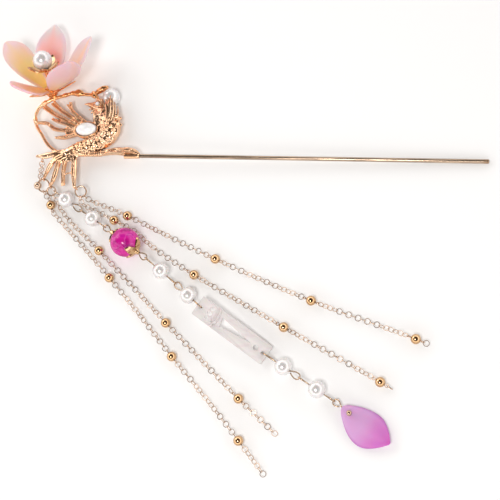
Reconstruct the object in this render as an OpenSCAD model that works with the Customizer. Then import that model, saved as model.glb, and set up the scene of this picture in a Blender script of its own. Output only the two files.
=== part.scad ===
// Buyao hairpin that lies on a flat surface: a straight pin in a cast phoenix,
// which carries a glass flower, a strand of pearls with a pierced plaque and a petal
// drop, and four chains with gold beads.
// Lengths in millimetres. Origin on the pin's axis where it enters the casting,
// +X along the pin, +Y towards the flower, +Z up.

/* [Pin] */
// Length of the pin from the casting to its end
pin_l = 126; // [90:1:150]
// Diameter of the pin
pin_d = 1.5; // [1.2:0.1:2]
// Diameter of the tenon that sits in the casting's socket
tenon_d = 1; // [0.8:0.1:1.1]
// Length of the tenon
tenon_l = 5; // [3:0.5:6]
// Radial gap between the tenon and its socket
pin_fit = 0.04; // [0.03:0.01:0.08]
// Height of the pin's root above the surface
root_h = 3.2; // [3:0.1:5]

/* [Phoenix casting] */
// Width of the casting from the pin's root to the far side of its ring
casting_w = 44.5; // [42:0.5:50]
// Thickness of the bird's body at its breast
body_depth = 5.2; // [4:0.1:5.6]
// Diameter of the round branch that makes the ring
branch_d = 1.4; // [1.2:0.1:1.8]
// Width of a wing or tail feather at its widest
feather_w = 2.1; // [1.7:0.1:2.3]
// Thickness of a feather
feather_t = 1.3; // [1:0.1:1.8]
// Diameter of a raised scale on the body
scale_d = 1.2; // [0.9:0.1:1.5]
// Wire diameter of the eyes at the tail's tips
tip_eye_wire = 0.5; // [0.4:0.05:0.6]

/* [Flower] */
// Length of a glass petal
petal_l = 24; // [20:0.5:26]
// Width of a glass petal
petal_w = 13; // [10:0.5:13.5]
// Thickness of a glass petal
petal_t = 1.1; // [0.8:0.1:1.4]
// Angle between the flower's axis and its petals
petal_open = 45; // [42:1:50]
// Diameter of the seat that the petals stand on
seat_d = 7; // [6:0.5:8]
// Height of the flower's pearl above the seat
pearl_h = 13.5; // [12:0.5:15]
// Diameter of the gold cup under the pearl
cup_d = 12.4; // [10:0.2:12.6]

/* [Pearls and stones] */
// Diameter of the pearls on the strand
pearl_d = 6; // [5:0.25:7]
// Diameter of the pearl in the flower
flower_pearl_d = 7.3; // [6.5:0.1:8.4]
// Diameter of the pearl behind the bird's head
crest_pearl_d = 6.6; // [5.8:0.1:6.8]
// Length of the oval pearl in the wing
wing_pearl_l = 8.2; // [7.4:0.1:8.8]
// Width of the oval pearl in the wing
wing_pearl_w = 5.2; // [4.8:0.1:5.8]
// Diameter of the white stone of the bird's eye
eye_stone_d = 1.6; // [1.2:0.1:2]
// Diameter of the large bead
large_bead_d = 10.7; // [9:0.1:12]
// Diameter of the hole through the beads of the strand
bead_bore = 0.9; // [0.8:0.05:1.1]

/* [Strand] */
// Diameter of the wire of the eye pins
wire_d = 0.5; // [0.4:0.05:0.6]
// Length of an eye beyond its bead
eye_l = 4.4; // [3.8:0.1:5]
// Width of an eye
eye_w = 2.8; // [2.6:0.1:3.2]
// Length of the short eye that hangs on the ring
ring_eye_l = 2.7; // [2.5:0.1:3.5]
// Length of the long eye after the plaque
plaque_eye_l = 6; // [5:0.1:7]
// Length of the bead caps over the large bead
cap_l = 1.6; // [1.2:0.1:2]
// Wall of the bead caps
cap_wall = 0.4; // [0.3:0.05:0.6]

/* [Plaque and petal drop] */
// Length of the shell plaque
plaque_l = 30.4; // [26:0.2:36]
// Width of the shell plaque
plaque_w = 7.5; // [6.5:0.1:9]
// Thickness of the shell plaque
plaque_t = 1; // [0.8:0.05:1.1]
// Distance of the plaque's wire holes from its ends
plaque_inset = 1.7; // [1.5:0.1:1.9]
// Length of the petal drop
drop_l = 19.8; // [16:0.2:24]
// Width of the petal drop
drop_w = 12.6; // [10:0.2:15]
// Thickness of the petal drop
drop_t = 1.6; // [1.2:0.1:2]
// Distance of the drop's hole from its upper end
drop_inset = 3.3; // [2.6:0.1:4]
// Length of the drop's wire from its hole to its eye
drop_wire_l = 6.9; // [6.5:0.1:9]

/* [Jump rings] */
// Wire diameter of the jump rings
ring_wire = 0.6; // [0.5:0.05:0.65]
// Outer diameter of the left jump ring
left_ring_d = 5.4; // [5:0.1:5.8]
// Outer diameter of the middle jump ring
middle_ring_d = 4; // [3.8:0.1:4.4]
// Outer diameter of the right jump ring
right_ring_d = 4.7; // [4.4:0.1:5.2]
// Diameter of the ball on the left ring
ring_ball_d = 3; // [2.4:0.1:3.2]

/* [Chains] */
// Outer diameter of a chain link
link_d = 2.3; // [2.1:0.05:2.5]
// Wire diameter of a chain link
link_wire = 0.25; // [0.2:0.01:0.3]
// Gap left between links that hold each other
link_gap = 0.1; // [0.1:0.01:0.15]
// Diameter of the gold beads on the chains
gold_bead_d = 3.5; // [3:0.1:4]
// Diameter of the small eyes on both sides of a gold bead
bead_eye_d = 1.5; // [1.4:0.05:1.7]

/* [Hidden] */
beads_a = 4;
beads_b = 4;
beads_c = 3;
beads_d = 4;
pearls = 6;
$fn = 32;

gold = [0.87, 0.62, 0.42];
bright_gold = [0.85, 0.68, 0.40];
pearl_white = [0.94, 0.92, 0.90];
glass_pink = [0.95, 0.72, 0.74];
magenta = [0.82, 0.13, 0.62];
lilac = [0.85, 0.52, 0.86];
shell_white = [0.95, 0.90, 0.89];

// The casting lies a little turned, so that the pin's end meets the surface
pitch = asin((root_h - pin_d / 2) / pin_l);
roll = -2;
floor_z = -root_h;
clearance = 0.1;

// Gives a point of the casting's own frame in the part's frame
function laid(p) =
    let (y = p[1] * cos(roll) - p[2] * sin(roll), z = p[1] * sin(roll) + p[2] * cos(roll))
    [p[0] * cos(pitch) + z * sin(pitch), y, z * cos(pitch) - p[0] * sin(pitch)];

module lay() {
    rotate([0, pitch, 0]) rotate([roll, 0, 0]) children();
}

// Curves and skins

function unit(v) = v / norm(v);
function last(list) = list[len(list) - 1];
function mix(a, b, f) = a + (b - a) * f;

// A point of the smooth curve through p, at the share t of the way from p[i] to the next
function between(p, i, t) =
    let (a = p[max(i - 1, 0)], b = p[i], c = p[i + 1], d = p[min(i + 2, len(p) - 1)])
    (2 * b + (c - a) * t + (2 * a - 5 * b + 4 * c - d) * t * t
        + (3 * b - a - 3 * c + d) * t * t * t) / 2;

function smooth(p, steps) = concat(
    [for (i = [0 : len(p) - 2]) for (k = [0 : steps - 1]) between(p, i, k / steps)],
    [last(p)]);

function heading(p, i) = unit(p[min(i + 1, len(p) - 1)] - p[max(i - 1, 0)]);

// One normal for each point of p, each turned as little as possible from the one before
function normals(p) =
    let (t = heading(p, 0), up = abs(t[2]) > 0.9 ? [1, 0, 0] : [0, 0, 1])
    [for (i = 0, n = unit(up - t * (up * t)); i < len(p);
          n = let (s = heading(p, i + 1)) unit(n - s * (n * s)), i = i + 1) n];

// A closed solid through rings of points, each ring run through anticlockwise as seen
// from the ring before
module skin(rings) {
    n = len(rings[0]);
    m = len(rings) - 1;
    polyhedron(
        points = [for (r = rings) for (q = r) q],
        faces = concat(
            [[for (j = [n - 1 : -1 : 0]) j]],
            [for (i = [0 : m - 1]) for (j = [0 : n - 1])
                [i * n + j, i * n + (j + 1) % n, (i + 1) * n + (j + 1) % n, (i + 1) * n + j]],
            [[for (j = [0 : n - 1]) m * n + j]]),
        convexity = 6);
}

// A round wire along p with a radius for each point
module wire(p, radii, sides) {
    up = normals(p);
    skin([for (i = [0 : len(p) - 1])
        let (t = heading(p, i), side = cross(t, up[i]))
        [for (j = [0 : sides - 1])
            p[i] + radii[i] * (side * cos(360 * j / sides) + up[i] * sin(360 * j / sides))]]);
}

module even_wire(p, r, sides) {
    wire(p, [for (q = p) r], sides);
}

// A strip along p that stays upright, with half widths and half heights along it
module strip(p, half_w, half_h, section) {
    skin([for (i = [0 : len(p) - 1])
        let (t = heading(p, i), side = unit(cross(t, [0, 0, 1])), up = cross(side, t))
        [for (q = section) p[i] + side * q[0] * half_w[i] + up * q[1] * half_h[i]]]);
}

module torus(mean_r, wire_r) {
    rotate_extrude() translate([mean_r, 0]) circle(wire_r, $fn = 16);
}

// The casting, drawn in hundredths of its width

function cast(p) = [for (q = p) [q[0], q[1], len(q) > 2 ? q[2] : 0] * casting_w / 100];
function spot(x, y, z = 0) = [x, y, z] * casting_w / 100;

feather_section = [[-1, -0.7], [1, -0.7], [1, 0.2], [0.55, 1], [0, 0.3], [-0.55, 1], [-1, 0.2]];
branch_route = [
    [-71, 1], [-79.5, 5], [-86, 11], [-91, 18], [-96.5, 25], [-99, 32], [-97.5, 41],
    [-91, 47], [-82.5, 51], [-74.5, 53.5], [-68, 55.5], [-61.5, 55], [-55, 54.5], [-46.5, 53.5], [-43, 50]];
perch_route = [
    [-62, 0.5], [-50, 0.5], [-38, 1], [-28, 3], [-20, 4], [-11, 3], [-5, 0.8], [-1, 0]];
// Rows: route, then the half width at the root, the middle and the tip
wing_feathers = [
    [[[-51, 25], [-59, 34], [-66, 40], [-68, 47.5]], [0.5, 0.7, 0.55]],
    [[[-64.5, 38], [-68, 43], [-71, 45]], [0.5, 0.5, 0.3]],
    [[[-55, 25], [-66, 34], [-76, 40], [-84.5, 47]], [0.5, 0.8, 1.1]],
    [[[-56, 23.5], [-70, 31], [-80, 35.5], [-92.5, 43.5]], [0.5, 0.75, 1]],
    [[[-58, 22.5], [-70, 27.5], [-78, 30], [-83, 32]], [0.5, 0.7, 0.5]],
    [[[-57, 20.5], [-70, 21.5], [-80, 23], [-87, 28], [-97.5, 28.5]], [0.5, 0.8, 0.6]],
    [[[-56, 18.5], [-69, 15.5], [-78, 15]], [0.5, 0.8, 0.4]]];
left_eye = spot(-83, -22);
middle_eye = spot(-76, -28.5);
right_eye = spot(-53, -30);
chain_eye = spot(-87, -5.6);
left_heading = -95;
middle_heading = -80;
right_heading = -24;
ring_dip = 16;
ring_ball_turn = -82;
tip_eye_r = ring_wire / 2 + 1.4 * clearance + tip_eye_wire / 2;
function reach(a) = tip_eye_r * [cos(a), sin(a), 0];
// Rows: route in hundredths, the end in millimetres, then the half widths
tail_feathers = [
    [[[-74, 1.5], [-84, -1]], spot(-93.5, -2), [0.8, 1.2, 0.25]],
    [[[-74, -1], [-79.5, -10]], left_eye - reach(left_heading), [0.9, 0.95, 0.5]],
    [[[-71, -3], [-73, -12], [-74, -20]], middle_eye - reach(middle_heading), [1, 0.95, 0.6]],
    [[[-66, -4], [-66.5, -16]], spot(-65, -27.5), [0.9, 0.7, 0.8]],
    [[[-58.5, 0], [-57.5, -12], [-56, -22]], right_eye - reach(right_heading), [1.1, 1.05, 0.5]]];
// Rows along the body from the tail to the crown: x, y, half width and half depth, the
// last as a share of the body's depth
body_rows = [
    [-69, 0, 2.5, 0.22],
    [-60, 4, 5, 0.3],
    [-50, 7, 6.5, 0.38],
    [-39, 10.5, 7.5, 0.44],
    [-30.5, 17, 8.5, 0.5],
    [-29, 25.5, 9.5, 0.5],
    [-33.5, 34, 8.5, 0.45],
    [-38, 41, 6.5, 0.4],
    [-40.5, 46.5, 4.5, 0.34],
    [-41, 50, 2, 0.2]];
// Rows: short feathers along the bird's back
back_feathers = [
    [[-28, 36, 0], [-24, 33, 0.5], [-19.5, 33, 0.5]],
    [[-28, 31, 0.5], [-23, 27.5, 0.8], [-18.5, 27, 0.8]],
    [[-30, 25.5, 1], [-24, 21.5, 1], [-19.5, 20.5, 0.8]],
    [[-33, 20.5, 1.5], [-27.5, 15, 1.2], [-23, 14, 0.8]]];
crest_at = spot(-31, 51.5);
crest_lift = 0.7;
wing_pearl_at = spot(-49.5, 22);
wing_pearl_turn = 5;
rim_w = 0.7;
eye_stone_at = spot(-41.5, 44.5);

function flare(w, f) =
    feather_w / 2 * (f < 0.5 ? mix(w[0], w[1], f * 2) : mix(w[1], w[2], f * 2 - 1));

module feather(route, w) {
    p = smooth(route, 2);
    n = len(p) - 1;
    strip(p, [for (i = [0 : n]) flare(w, i / n)],
        [for (i = [0 : n]) feather_t / 2 * (0.75 + 0.25 * sin(180 * i / n))], feather_section);
}

module wing() {
    for (f = wing_feathers) feather(cast(f[0]), f[1]);
    // The fan that the feathers grow from
    hull() for (q = [[-54, 17], [-55, 28], [-64, 29], [-70.5, 22], [-67, 17]])
        translate(spot(q[0], q[1], -1.1)) cylinder(r = 0.3, h = feather_t * 0.7, $fn = 5);
}

module tip_eye(at, turn) {
    translate(at) rotate([90, 0, turn]) rotate_extrude($fn = 10) translate([tip_eye_r, 0])
        circle(tip_eye_wire / 2, $fn = 5);
}

module tail() {
    for (f = tail_feathers) feather(concat(cast(f[0]), [f[1]]), f[2]);
    hull() for (q = [[-76, 2.5], [-76, -2], [-67, -5.5], [-57, -4], [-55.5, 1], [-62, 4]])
        translate(spot(q[0], q[1], -0.8)) cylinder(r = 0.5, h = feather_t * 0.8, $fn = 6);
    hull() {
        translate(spot(-66, -17.5)) sphere(0.35, $fn = 6);
        translate(spot(-58, -15.5)) sphere(0.35, $fn = 6);
    }
    tip_eye(left_eye, left_heading);
    tip_eye(middle_eye, middle_heading);
    tip_eye(right_eye, right_heading);
    tip_eye(chain_eye, -90);
    hull() {
        translate(chain_eye + [0, tip_eye_r, 0]) sphere(tip_eye_wire * 0.6, $fn = 6);
        translate(spot(-85, -1.5)) sphere(tip_eye_wire * 0.6, $fn = 6);
    }
}

module knot(x, y, r, turn, longer) {
    hull() {
        translate(spot(x, y)) sphere(r, $fn = 8);
        translate(spot(x, y) + longer * [cos(turn), sin(turn), 0]) sphere(r * 0.75, $fn = 7);
    }
}

module branches() {
    even_wire(smooth(cast(branch_route), 2), branch_d / 2, 8);
    knot(-93, 46, branch_d * 0.75, 30, 1.4);
    knot(-98, 30, branch_d * 0.65, 100, 1.2);
    knot(-62, 55.2, branch_d * 0.9, 174, 2.4);
    knot(-74, 53.5, branch_d * 0.6, 30, 1.2);
    knot(-48, 53.5, branch_d * 0.75, 100, 1.2);
    // Two twigs that carry the flower
    for (x = [-89, -81]) hull() {
        translate(spot(x, x == -89 ? 48 : 51.5)) sphere(branch_d * 0.45, $fn = 7);
        translate(flower_at - [(x + 85) * 0.12, 0.9, 1]) sphere(branch_d * 0.7, $fn = 7);
    }
    // The bud at the branch's end
    feather(cast([[-47, 54], [-44, 57.5], [-40, 60], [-35.5, 61.5]]), [0.6, 1, 0.5]);
}

module perch() {
    p = smooth(cast(perch_route), 3);
    n = len(p) - 1;
    strip(p, [for (i = [0 : n]) casting_w / 100 * (1.6 + 1.8 * pow(sin(180 * pow(i / n, 1.6)), 2))],
        [for (i = [0 : n]) pin_d * 0.75], feather_section);
    translate([-tenon_l - 1, 0, 0]) rotate([0, 90, 0])
        cylinder(h = tenon_l + 1 - clearance, r1 = pin_d * 0.8, r2 = pin_d / 2 + 0.3, $fn = 20);
}

function body_at(f) =
    let (i = min(floor(f), len(body_rows) - 2))
    between(body_rows, i, f - i);

function body_point(f, a, out) =
    let (q = body_at(f), e = 0.05,
         ahead = body_at(min(f + e, len(body_rows) - 1)), back = body_at(max(f - e, 0)),
         t = unit([ahead[0] - back[0], ahead[1] - back[1], 0]), side = cross(t, [0, 0, 1]))
    spot(q[0], q[1]) + side * cos(a) * (q[2] * casting_w / 100 + out)
        + [0, 0, 1] * sin(a) * (q[3] * body_depth + out);

module body() {
    skin([for (f = [0 : 0.5 : len(body_rows) - 1])
        [for (a = [0 : 30 : 330]) body_point(f, a, 0)]]);
}

module back() {
    for (f = back_feathers) feather([for (q = f) spot(q[0], q[1], q[2])], [0.8, 1, 0.3]);
}

module scales() {
    for (k = [0 : 16])
        let (f = 1.2 + k * 0.33, odd = k % 2)
        for (a = [25 + odd * 17 : 34 : 160])
            translate(body_point(f, a, -scale_d * 0.1)) sphere(scale_d / 2, $fn = 5);
}

module head() {
    translate(spot(-40.5, 45.5)) sphere(body_depth * 0.44, $fn = 12);
    hull() {
        translate(spot(-45, 45, 1)) sphere(1.1, $fn = 8);
        translate(spot(-55, 45.5, 0.5)) sphere(0.22, $fn = 6);
    }
    hull() {
        translate(spot(-45, 43, 0)) sphere(0.9, $fn = 8);
        translate(spot(-50.5, 40.5, 0)) sphere(0.22, $fn = 6);
    }
    hull() {
        translate(spot(-45, 40, 0.5)) sphere(0.7, $fn = 6);
        translate(spot(-47.5, 37.5, 0.5)) sphere(0.4, $fn = 6);
    }
}

// A point over the crest pearl, x and y from its middle
function over_pearl(x, y) =
    let (r = crest_pearl_d / 2 + feather_t / 2)
    crest_at + [x, y, crest_lift + sqrt(r * r - x * x - y * y)];

// Three plumes that run over the crest pearl and down the bird's back
module crest() {
    side = crest_pearl_d * 0.28;
    for (x = [-side, 0, side])
        feather([
            over_pearl(x * 0.8 - 0.3, crest_pearl_d * 0.08),
            over_pearl(x, -crest_pearl_d * 0.34),
            spot(-29, 39, 2.5 + body_depth * 0.9) + [x, 0, 0],
            spot(-27, 31, body_depth * 0.85) + [x * 1.2, 0, 0]], [0.6, 0.9, 0.5]);
    // The seat beside the pearl
    hull() {
        translate(spot(-36, 46)) sphere(1.3, $fn = 7);
        translate(crest_at + crest_pearl_d * [-0.33, -0.24, -0.15]) sphere(1.2, $fn = 7);
    }
    hull() {
        translate(spot(-29, 39)) sphere(1.5, $fn = 7);
        translate(crest_at + crest_pearl_d * [0.07, -0.4, -0.15]) sphere(1.1, $fn = 7);
    }
}

// A ring of points round the wing pearl, out by a given distance
function oval(out, z) =
    [for (a = [342 : -18 : 0])
        let (x = (wing_pearl_l / 2 + out) * cos(a), y = (wing_pearl_w / 2 + out) * sin(a))
        wing_pearl_at + [x * cos(wing_pearl_turn) - y * sin(wing_pearl_turn),
            x * sin(wing_pearl_turn) + y * cos(wing_pearl_turn), z]];

wing_seat_z = body_depth * 0.18;

module wing_setting() {
    skin([oval(0.2, -body_depth * 0.28), oval(rim_w, -body_depth * 0.1),
        oval(rim_w + 0.15, wing_seat_z), oval(rim_w * 0.6, wing_seat_z + rim_w)]);
}

// The calyx: a seat, a post for the pearl and sepals between the petals
flower_at = spot(-86, 56, 1.5);
flower_lean = 3;
flower_rise = 51;
seat_t = 1.2;
post_d = 1.2;
// Rows: direction round the flower's axis, length, half width, opening beyond petal_open
sepals = [[342, 11.5, 1.5, 17], [238, 8, 1.5, 26], [282, 6, 1.3, 14], [55, 8, 1.5, 4], [124, 8, 1.5, 4]];

module in_flower() {
    lay() translate(flower_at) rotate([0, 0, flower_lean]) rotate([flower_rise - 90, 0, 0])
        children();
}

module sepal(length, half_w, open) {
    along = [sin(open), 0, cos(open)];
    root = [seat_d / 2 - 1, 0, seat_t * 0.4];
    // One side wire runs past the other at the tip
    for (s = [-1, 1])
        even_wire([for (f = [0 : 0.2 : 1])
            root + along * length * f * (1 + s * 0.03) + [0, s * half_w * sin(172 * pow(f, 0.8)), 0]],
            0.27 + s * 0.02, 4);
    even_wire([root, root + along * length * 0.55, root + along * length * 0.95], 0.24, 4);
}

module calyx() {
    translate([0, 0, -seat_t]) cylinder(r1 = seat_d * 0.28, r2 = seat_d / 2, h = seat_t * 2, $fn = 14);
    translate([0, 0, -seat_t]) cylinder(d = post_d, h = seat_t + pearl_h + flower_pearl_d * 0.1, $fn = 8);
    for (s = sepals) rotate([0, 0, s[0]]) sepal(s[1], s[2], petal_open + s[3]);
}

module phoenix() {
    color(gold) difference() {
        union() {
            lay() {
                branches();
                perch();
                body();
                back();
                scales();
                head();
                crest();
                wing();
                wing_setting();
                tail();
            }
            in_flower() calyx();
        }
        lay() {
            translate(crest_at + [0, 0, crest_lift]) sphere(d = crest_pearl_d + 3 * clearance, $fn = 20);
            translate(eye_centre) sphere(d = eye_stone_d + 2 * clearance, $fn = 14);
            skin([oval(clearance, wing_seat_z), oval(clearance, wing_seat_z + 4)]);
            translate([-tenon_l - clearance, 0, 0]) rotate([0, 90, 0])
                cylinder(h = tenon_l + 1, r = tenon_d / 2 + pin_fit, $fn = 20);
        }
    }
}

module pin() {
    chamfer = pin_d * 0.15;
    color(gold) lay() rotate([0, 90, 0]) {
        cylinder(d = pin_d, h = pin_l - chamfer);
        translate([0, 0, -tenon_l]) cylinder(d = tenon_d, h = tenon_l + 1);
        translate([0, 0, pin_l - chamfer]) cylinder(d1 = pin_d, d2 = pin_d - 2 * chamfer, h = chamfer);
    }
}

module crest_pearl() {
    color(pearl_white) lay() translate(crest_at + [0, 0, crest_lift]) sphere(d = crest_pearl_d);
}

eye_centre = eye_stone_at + [0, 0, body_depth * 0.38];

module eye_stone() {
    color(pearl_white) lay() translate(eye_centre) sphere(d = eye_stone_d);
}

// The oval pearl is a low dome on its seat
module wing_pearl() {
    dome = wing_pearl_w * 0.42;
    z0 = wing_seat_z + clearance;
    color(pearl_white) lay()
        skin([for (a = [0 : 15 : 90])
            oval_share(max(cos(a), 0.04), z0 + (a == 0 ? 0 : 0.3) + dome * sin(a))]);
}

function oval_share(f, z) =
    [for (q = oval(0, z)) [mix(wing_pearl_at[0], q[0], f), mix(wing_pearl_at[1], q[1], f), z]];

// Glass petals

// Rows: share of the length, share of the half width
petal_outline = [
    [0, 0.2], [0.14, 0.44], [0.28, 0.7], [0.42, 0.9], [0.54, 0.99], [0.64, 0.99], [0.74, 0.9],
    [0.83, 0.72], [0.91, 0.47], [0.97, 0.22], [1, 0.08]];
// Rows: name, direction round the axis, opening beyond petal_open, share of the length,
// turn about the petal's own length, sideways bow
petal_places = [
    ["petal_right", 24, 2, 1, 6, 0],
    ["petal_top", 89, -2, 1, 0, 1.6],
    ["petal_left", 163, -7, 0.96, 0, -1],
    ["petal_lower", 237, 11, 0.68, -8, 0],
    ["petal_front", 325, 2, 0.94, -20, 0]];
petal_cup = 0.9;
petal_bow = 1.2;
// The hole in a petal's root that it is wired through
root_hole_at = 2;
root_hole_d = 0.6;

// Rings of a leaf that runs along +X with its hollow side up
function leaf(outline, length, width, thick, cup, bow, sway) =
    [for (row = outline)
        let (b = row[1] * width / 2, x = row[0] * length, y = sway * sin(180 * row[0]),
             z = -bow * sin(180 * row[0]), lip = max(0.4, min(1, row[1] * 2.5)))
        [for (side = [-1, 1]) for (w = [-1 : 0.4 : 1])
            [x, y + side * b * w, z + cup * w * w * row[1] + side * thick * lip * (0.5 - 0.32 * w * w)]]];

module petal(place) {
    open = petal_open + place[2];
    r = seat_d / 2 - 1.1;
    h = seat_t + clearance * 1.5 + petal_t * 0.5 * sin(open);
    color(glass_pink) in_flower() rotate([0, 0, place[1]]) translate([r, 0, h])
        rotate([place[4], open - 90, 0]) difference() {
            skin(leaf(petal_outline, petal_l * place[3], petal_w, petal_t, petal_cup, petal_bow, place[5]));
            translate([root_hole_at, 0, -petal_t * 2]) cylinder(d = root_hole_d, h = petal_t * 4);
        }
}

module flower_pearl() {
    color(pearl_white) in_flower() translate([0, 0, pearl_h]) difference() {
        sphere(d = flower_pearl_d);
        translate([0, 0, -flower_pearl_d]) cylinder(d = post_d + 2 * clearance, h = flower_pearl_d * 1.2);
    }
}

// A cap of pointed lobes cut from a hollow ball
module lobed_cap(bead_r, span, lobes, lobe_w, wall, bore) {
    // Two circles this large meet in a lobe of the wanted length and width
    half = span / 2;
    big = (half * half + lobe_w * lobe_w / 4) / lobe_w;
    difference() {
        intersection() {
            difference() {
                sphere(bead_r + clearance + wall);
                sphere(bead_r + clearance);
            }
            linear_extrude(bead_r * 2) union() {
                circle(lobe_w * 0.45);
                for (k = [0 : lobes - 1]) rotate(360 * k / lobes) translate([half, 0]) intersection() {
                    translate([0, big - lobe_w / 2]) circle(big);
                    translate([0, lobe_w / 2 - big]) circle(big);
                }
            }
        }
        cylinder(d = bore, h = bead_r * 3);
    }
}

module flower_cup() {
    bowl = cup_d * 0.6;
    color(bright_gold) in_flower() translate([0, 0, pearl_h - flower_pearl_d / 2 - clearance + bowl])
        mirror([0, 0, 1]) lobed_cap(bowl, cup_d / 2, 5, cup_d * 0.38, cap_wall, post_d + 2 * clearance);
}

// A bead drilled along X
module drilled_ball(d, bore) {
    rotate([0, 90, 0]) difference() {
        sphere(d = d);
        cylinder(d = bore, h = d * 2, center = true);
    }
}

// Jump rings: each hangs in a tail eye, reaches out along a heading and dips

module on_ring(at, turn, outer_d) {
    lay() translate(at) rotate([0, ring_dip, turn]) translate([outer_d / 2 - ring_wire / 2, 0, 0]) children();
}

// The point of a ring's wire at an angle from its heading, in the part's frame
function ring_point(at, turn, outer_d, a) =
    let (m = outer_d / 2 - ring_wire / 2, x = m + m * cos(a), y = m * sin(a),
         fore = x * cos(ring_dip))
    laid(at + [fore * cos(turn) - y * sin(turn), fore * sin(turn) + y * cos(turn), -x * sin(ring_dip)]);

module jump_ring(at, turn, outer_d) {
    color(gold) on_ring(at, turn, outer_d) torus(outer_d / 2 - ring_wire / 2, ring_wire / 2);
}

// The left ring is closed with a soldered ball
module left_ring() {
    m = left_ring_d / 2 - ring_wire / 2;
    color(gold) on_ring(left_eye, left_heading, left_ring_d) {
        torus(m, ring_wire / 2);
        rotate([0, 0, ring_ball_turn]) translate([m, 0, 0]) sphere(d = ring_ball_d);
    }
}

// Chains

link_r = (link_d - link_wire) / 2;
pitch_max = 2 * link_r - link_wire - link_gap;
// From a wire that a link hangs on to the link's middle
hang = link_r - link_wire / 2 - ring_wire / 2 - link_gap;
bead_eye_wire = link_wire * 1.2;
bead_eye_r = (bead_eye_d - bead_eye_wire) / 2;
// From a gold bead's middle to its eye's middle, and on to the next link's middle
bead_eye_at = gold_bead_d / 2 + bead_eye_r + clearance * 1.5;
bead_to_link = bead_eye_at + bead_eye_r - link_wire / 2 - bead_eye_wire / 2 - link_gap + link_r;
links_between = 19;
bead_step = 2 * bead_to_link + (links_between - 1) * pitch_max;
chain_z = floor_z + link_d / 2;

// The chains' routes over the surface, after the ring that each starts on: x and y from
// the middle ring's eye. The last point lies past the chain's end.
layout_at = laid(middle_eye);
route_a = [
    [15.8, -4.5], [23.8, -7.3], [31.8, -10.3], [65.8, -24.8],
    [101.8, -38.3], [137.3, -49.3], [163.8, -59.3]];
route_b = [
    [12.8, -6.1], [19.8, -9], [24.8, -11.3], [34.3, -15.7], [41.8, -21.3],
    [58.3, -30.8], [92.3, -47.8], [127.3, -64.8], [153.8, -79.3]];
route_c = [
    [2.4, -5.3], [3.8, -8.1], [7.8, -12.3], [12.8, -16.5],
    [21.3, -23.5], [50.3, -49.3], [78.3, -73.3], [113.8, -101.3]];
route_d = [
    [-0.9, -5.3], [0.8, -8.8], [3.6, -12], [26.8, -33.8],
    [53.3, -60.8], [79.8, -87.8], [105.8, -117.3]];
// Rows: links before the first bead, beads, links after the last bead
count_a = [10, beads_a, 1];
count_b = [9, beads_b, 1];
count_c = [16, beads_c, 9];
count_d = [2, beads_d, 7];
start_a = ring_point(right_eye, right_heading, right_ring_d, -25);
start_b = ring_point(right_eye, right_heading, right_ring_d, -70);
start_c = ring_point(middle_eye, middle_heading, middle_ring_d, 16);
start_d = ring_point(left_eye, left_heading, left_ring_d, 12);

function on_floor(start, route) =
    let (points = [for (r = route) [layout_at[0] + r[0], layout_at[1] + r[1], chain_z]])
    [for (q = smooth(concat([start], points), 8)) [q[0], q[1], max(q[2], chain_z)]];

function runs(p) =
    [for (i = 0, s = 0; i < len(p); s = s + norm(p[min(i + 1, len(p) - 1)] - p[i]), i = i + 1) s];

function along(p, s, l) =
    [for (k = [0 : 2]) lookup(l, [for (i = [0 : len(p) - 1]) [s[i], p[i][k]]])];

// A chain rises to the middle of its beads, which lie on the surface
bead_rise = (gold_bead_d - link_d) / 2;
level_l = 3;
ramp_l = 8;
function rise(l, count) = bead_rise
    * min(1, max([for (i = [0 : count[1] - 1])
        max(0, 1 - (abs(l - bead_place(count, i)) - level_l) / ramp_l)]));

function chain_point(p, s, l, count) = along(p, s, l) + [0, 0, rise(l, count)];

// Moves children to the distance l along a chain, with +X along it
module ride(p, s, l, count) {
    t = unit(chain_point(p, s, l + 0.5, count) - chain_point(p, s, l - 0.5, count));
    translate(chain_point(p, s, l, count)) rotate([0, -asin(t[2]), atan2(t[1], t[0])]) children();
}

function bead_place(count, i) = hang + (count[0] - 1) * pitch_max + bead_to_link + i * bead_step;

// Distances of all links of a chain from its start
function link_places(count) = concat(
    [for (k = [0 : count[0] - 1]) hang + k * pitch_max],
    [for (i = [0 : count[1] - 2]) for (k = [0 : links_between - 1])
        bead_place(count, i) + bead_to_link + k * pitch_max],
    [for (k = [0 : count[2] - 1]) bead_place(count, count[1] - 1) + bead_to_link + k * pitch_max]);

module link() {
    torus(link_r, link_wire / 2);
}

// The wire through a gold bead with an eye at each end
module bead_wire() {
    reach = bead_eye_at - bead_eye_r;
    rotate([0, 90, 0]) cylinder(d = bead_eye_wire, h = 2 * reach, center = true);
    for (s = [-1, 1]) translate([s * bead_eye_at, 0, 0]) torus(bead_eye_r, bead_eye_wire / 2);
}

// Links stand and lie by turns. The first stands, because it hangs on a level ring.
module link_chain(start, route, count) {
    p = on_floor(start, route);
    s = runs(p);
    places = link_places(count);
    firsts = [count[0], for (i = [1 : count[1] - 1]) count[0] + i * links_between];
    color(gold) {
        for (k = [0 : len(places) - 1])
            let (before = len([for (f = firsts) if (k >= f) f]))
            ride(p, s, places[k], count) rotate([(k + before) % 2 == 0 ? 90 : 0, 0, 0]) link();
        for (i = [0 : count[1] - 1])
            ride(p, s, bead_place(count, i), count) rotate([eye_turn(count, i), 0, 0]) bead_wire();
    }
}

// A bead's eyes lie across the link before them
function eye_turn(count, i) =
    (count[0] + i * links_between + i) % 2 == 0 ? 90 : 0;

// A finer chain: its first link, then one closed tube that is thin inside the beads
tube_r = link_d * 0.36;
tube_step = 4.8;
neck_r = bead_eye_wire * 0.6;

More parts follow.
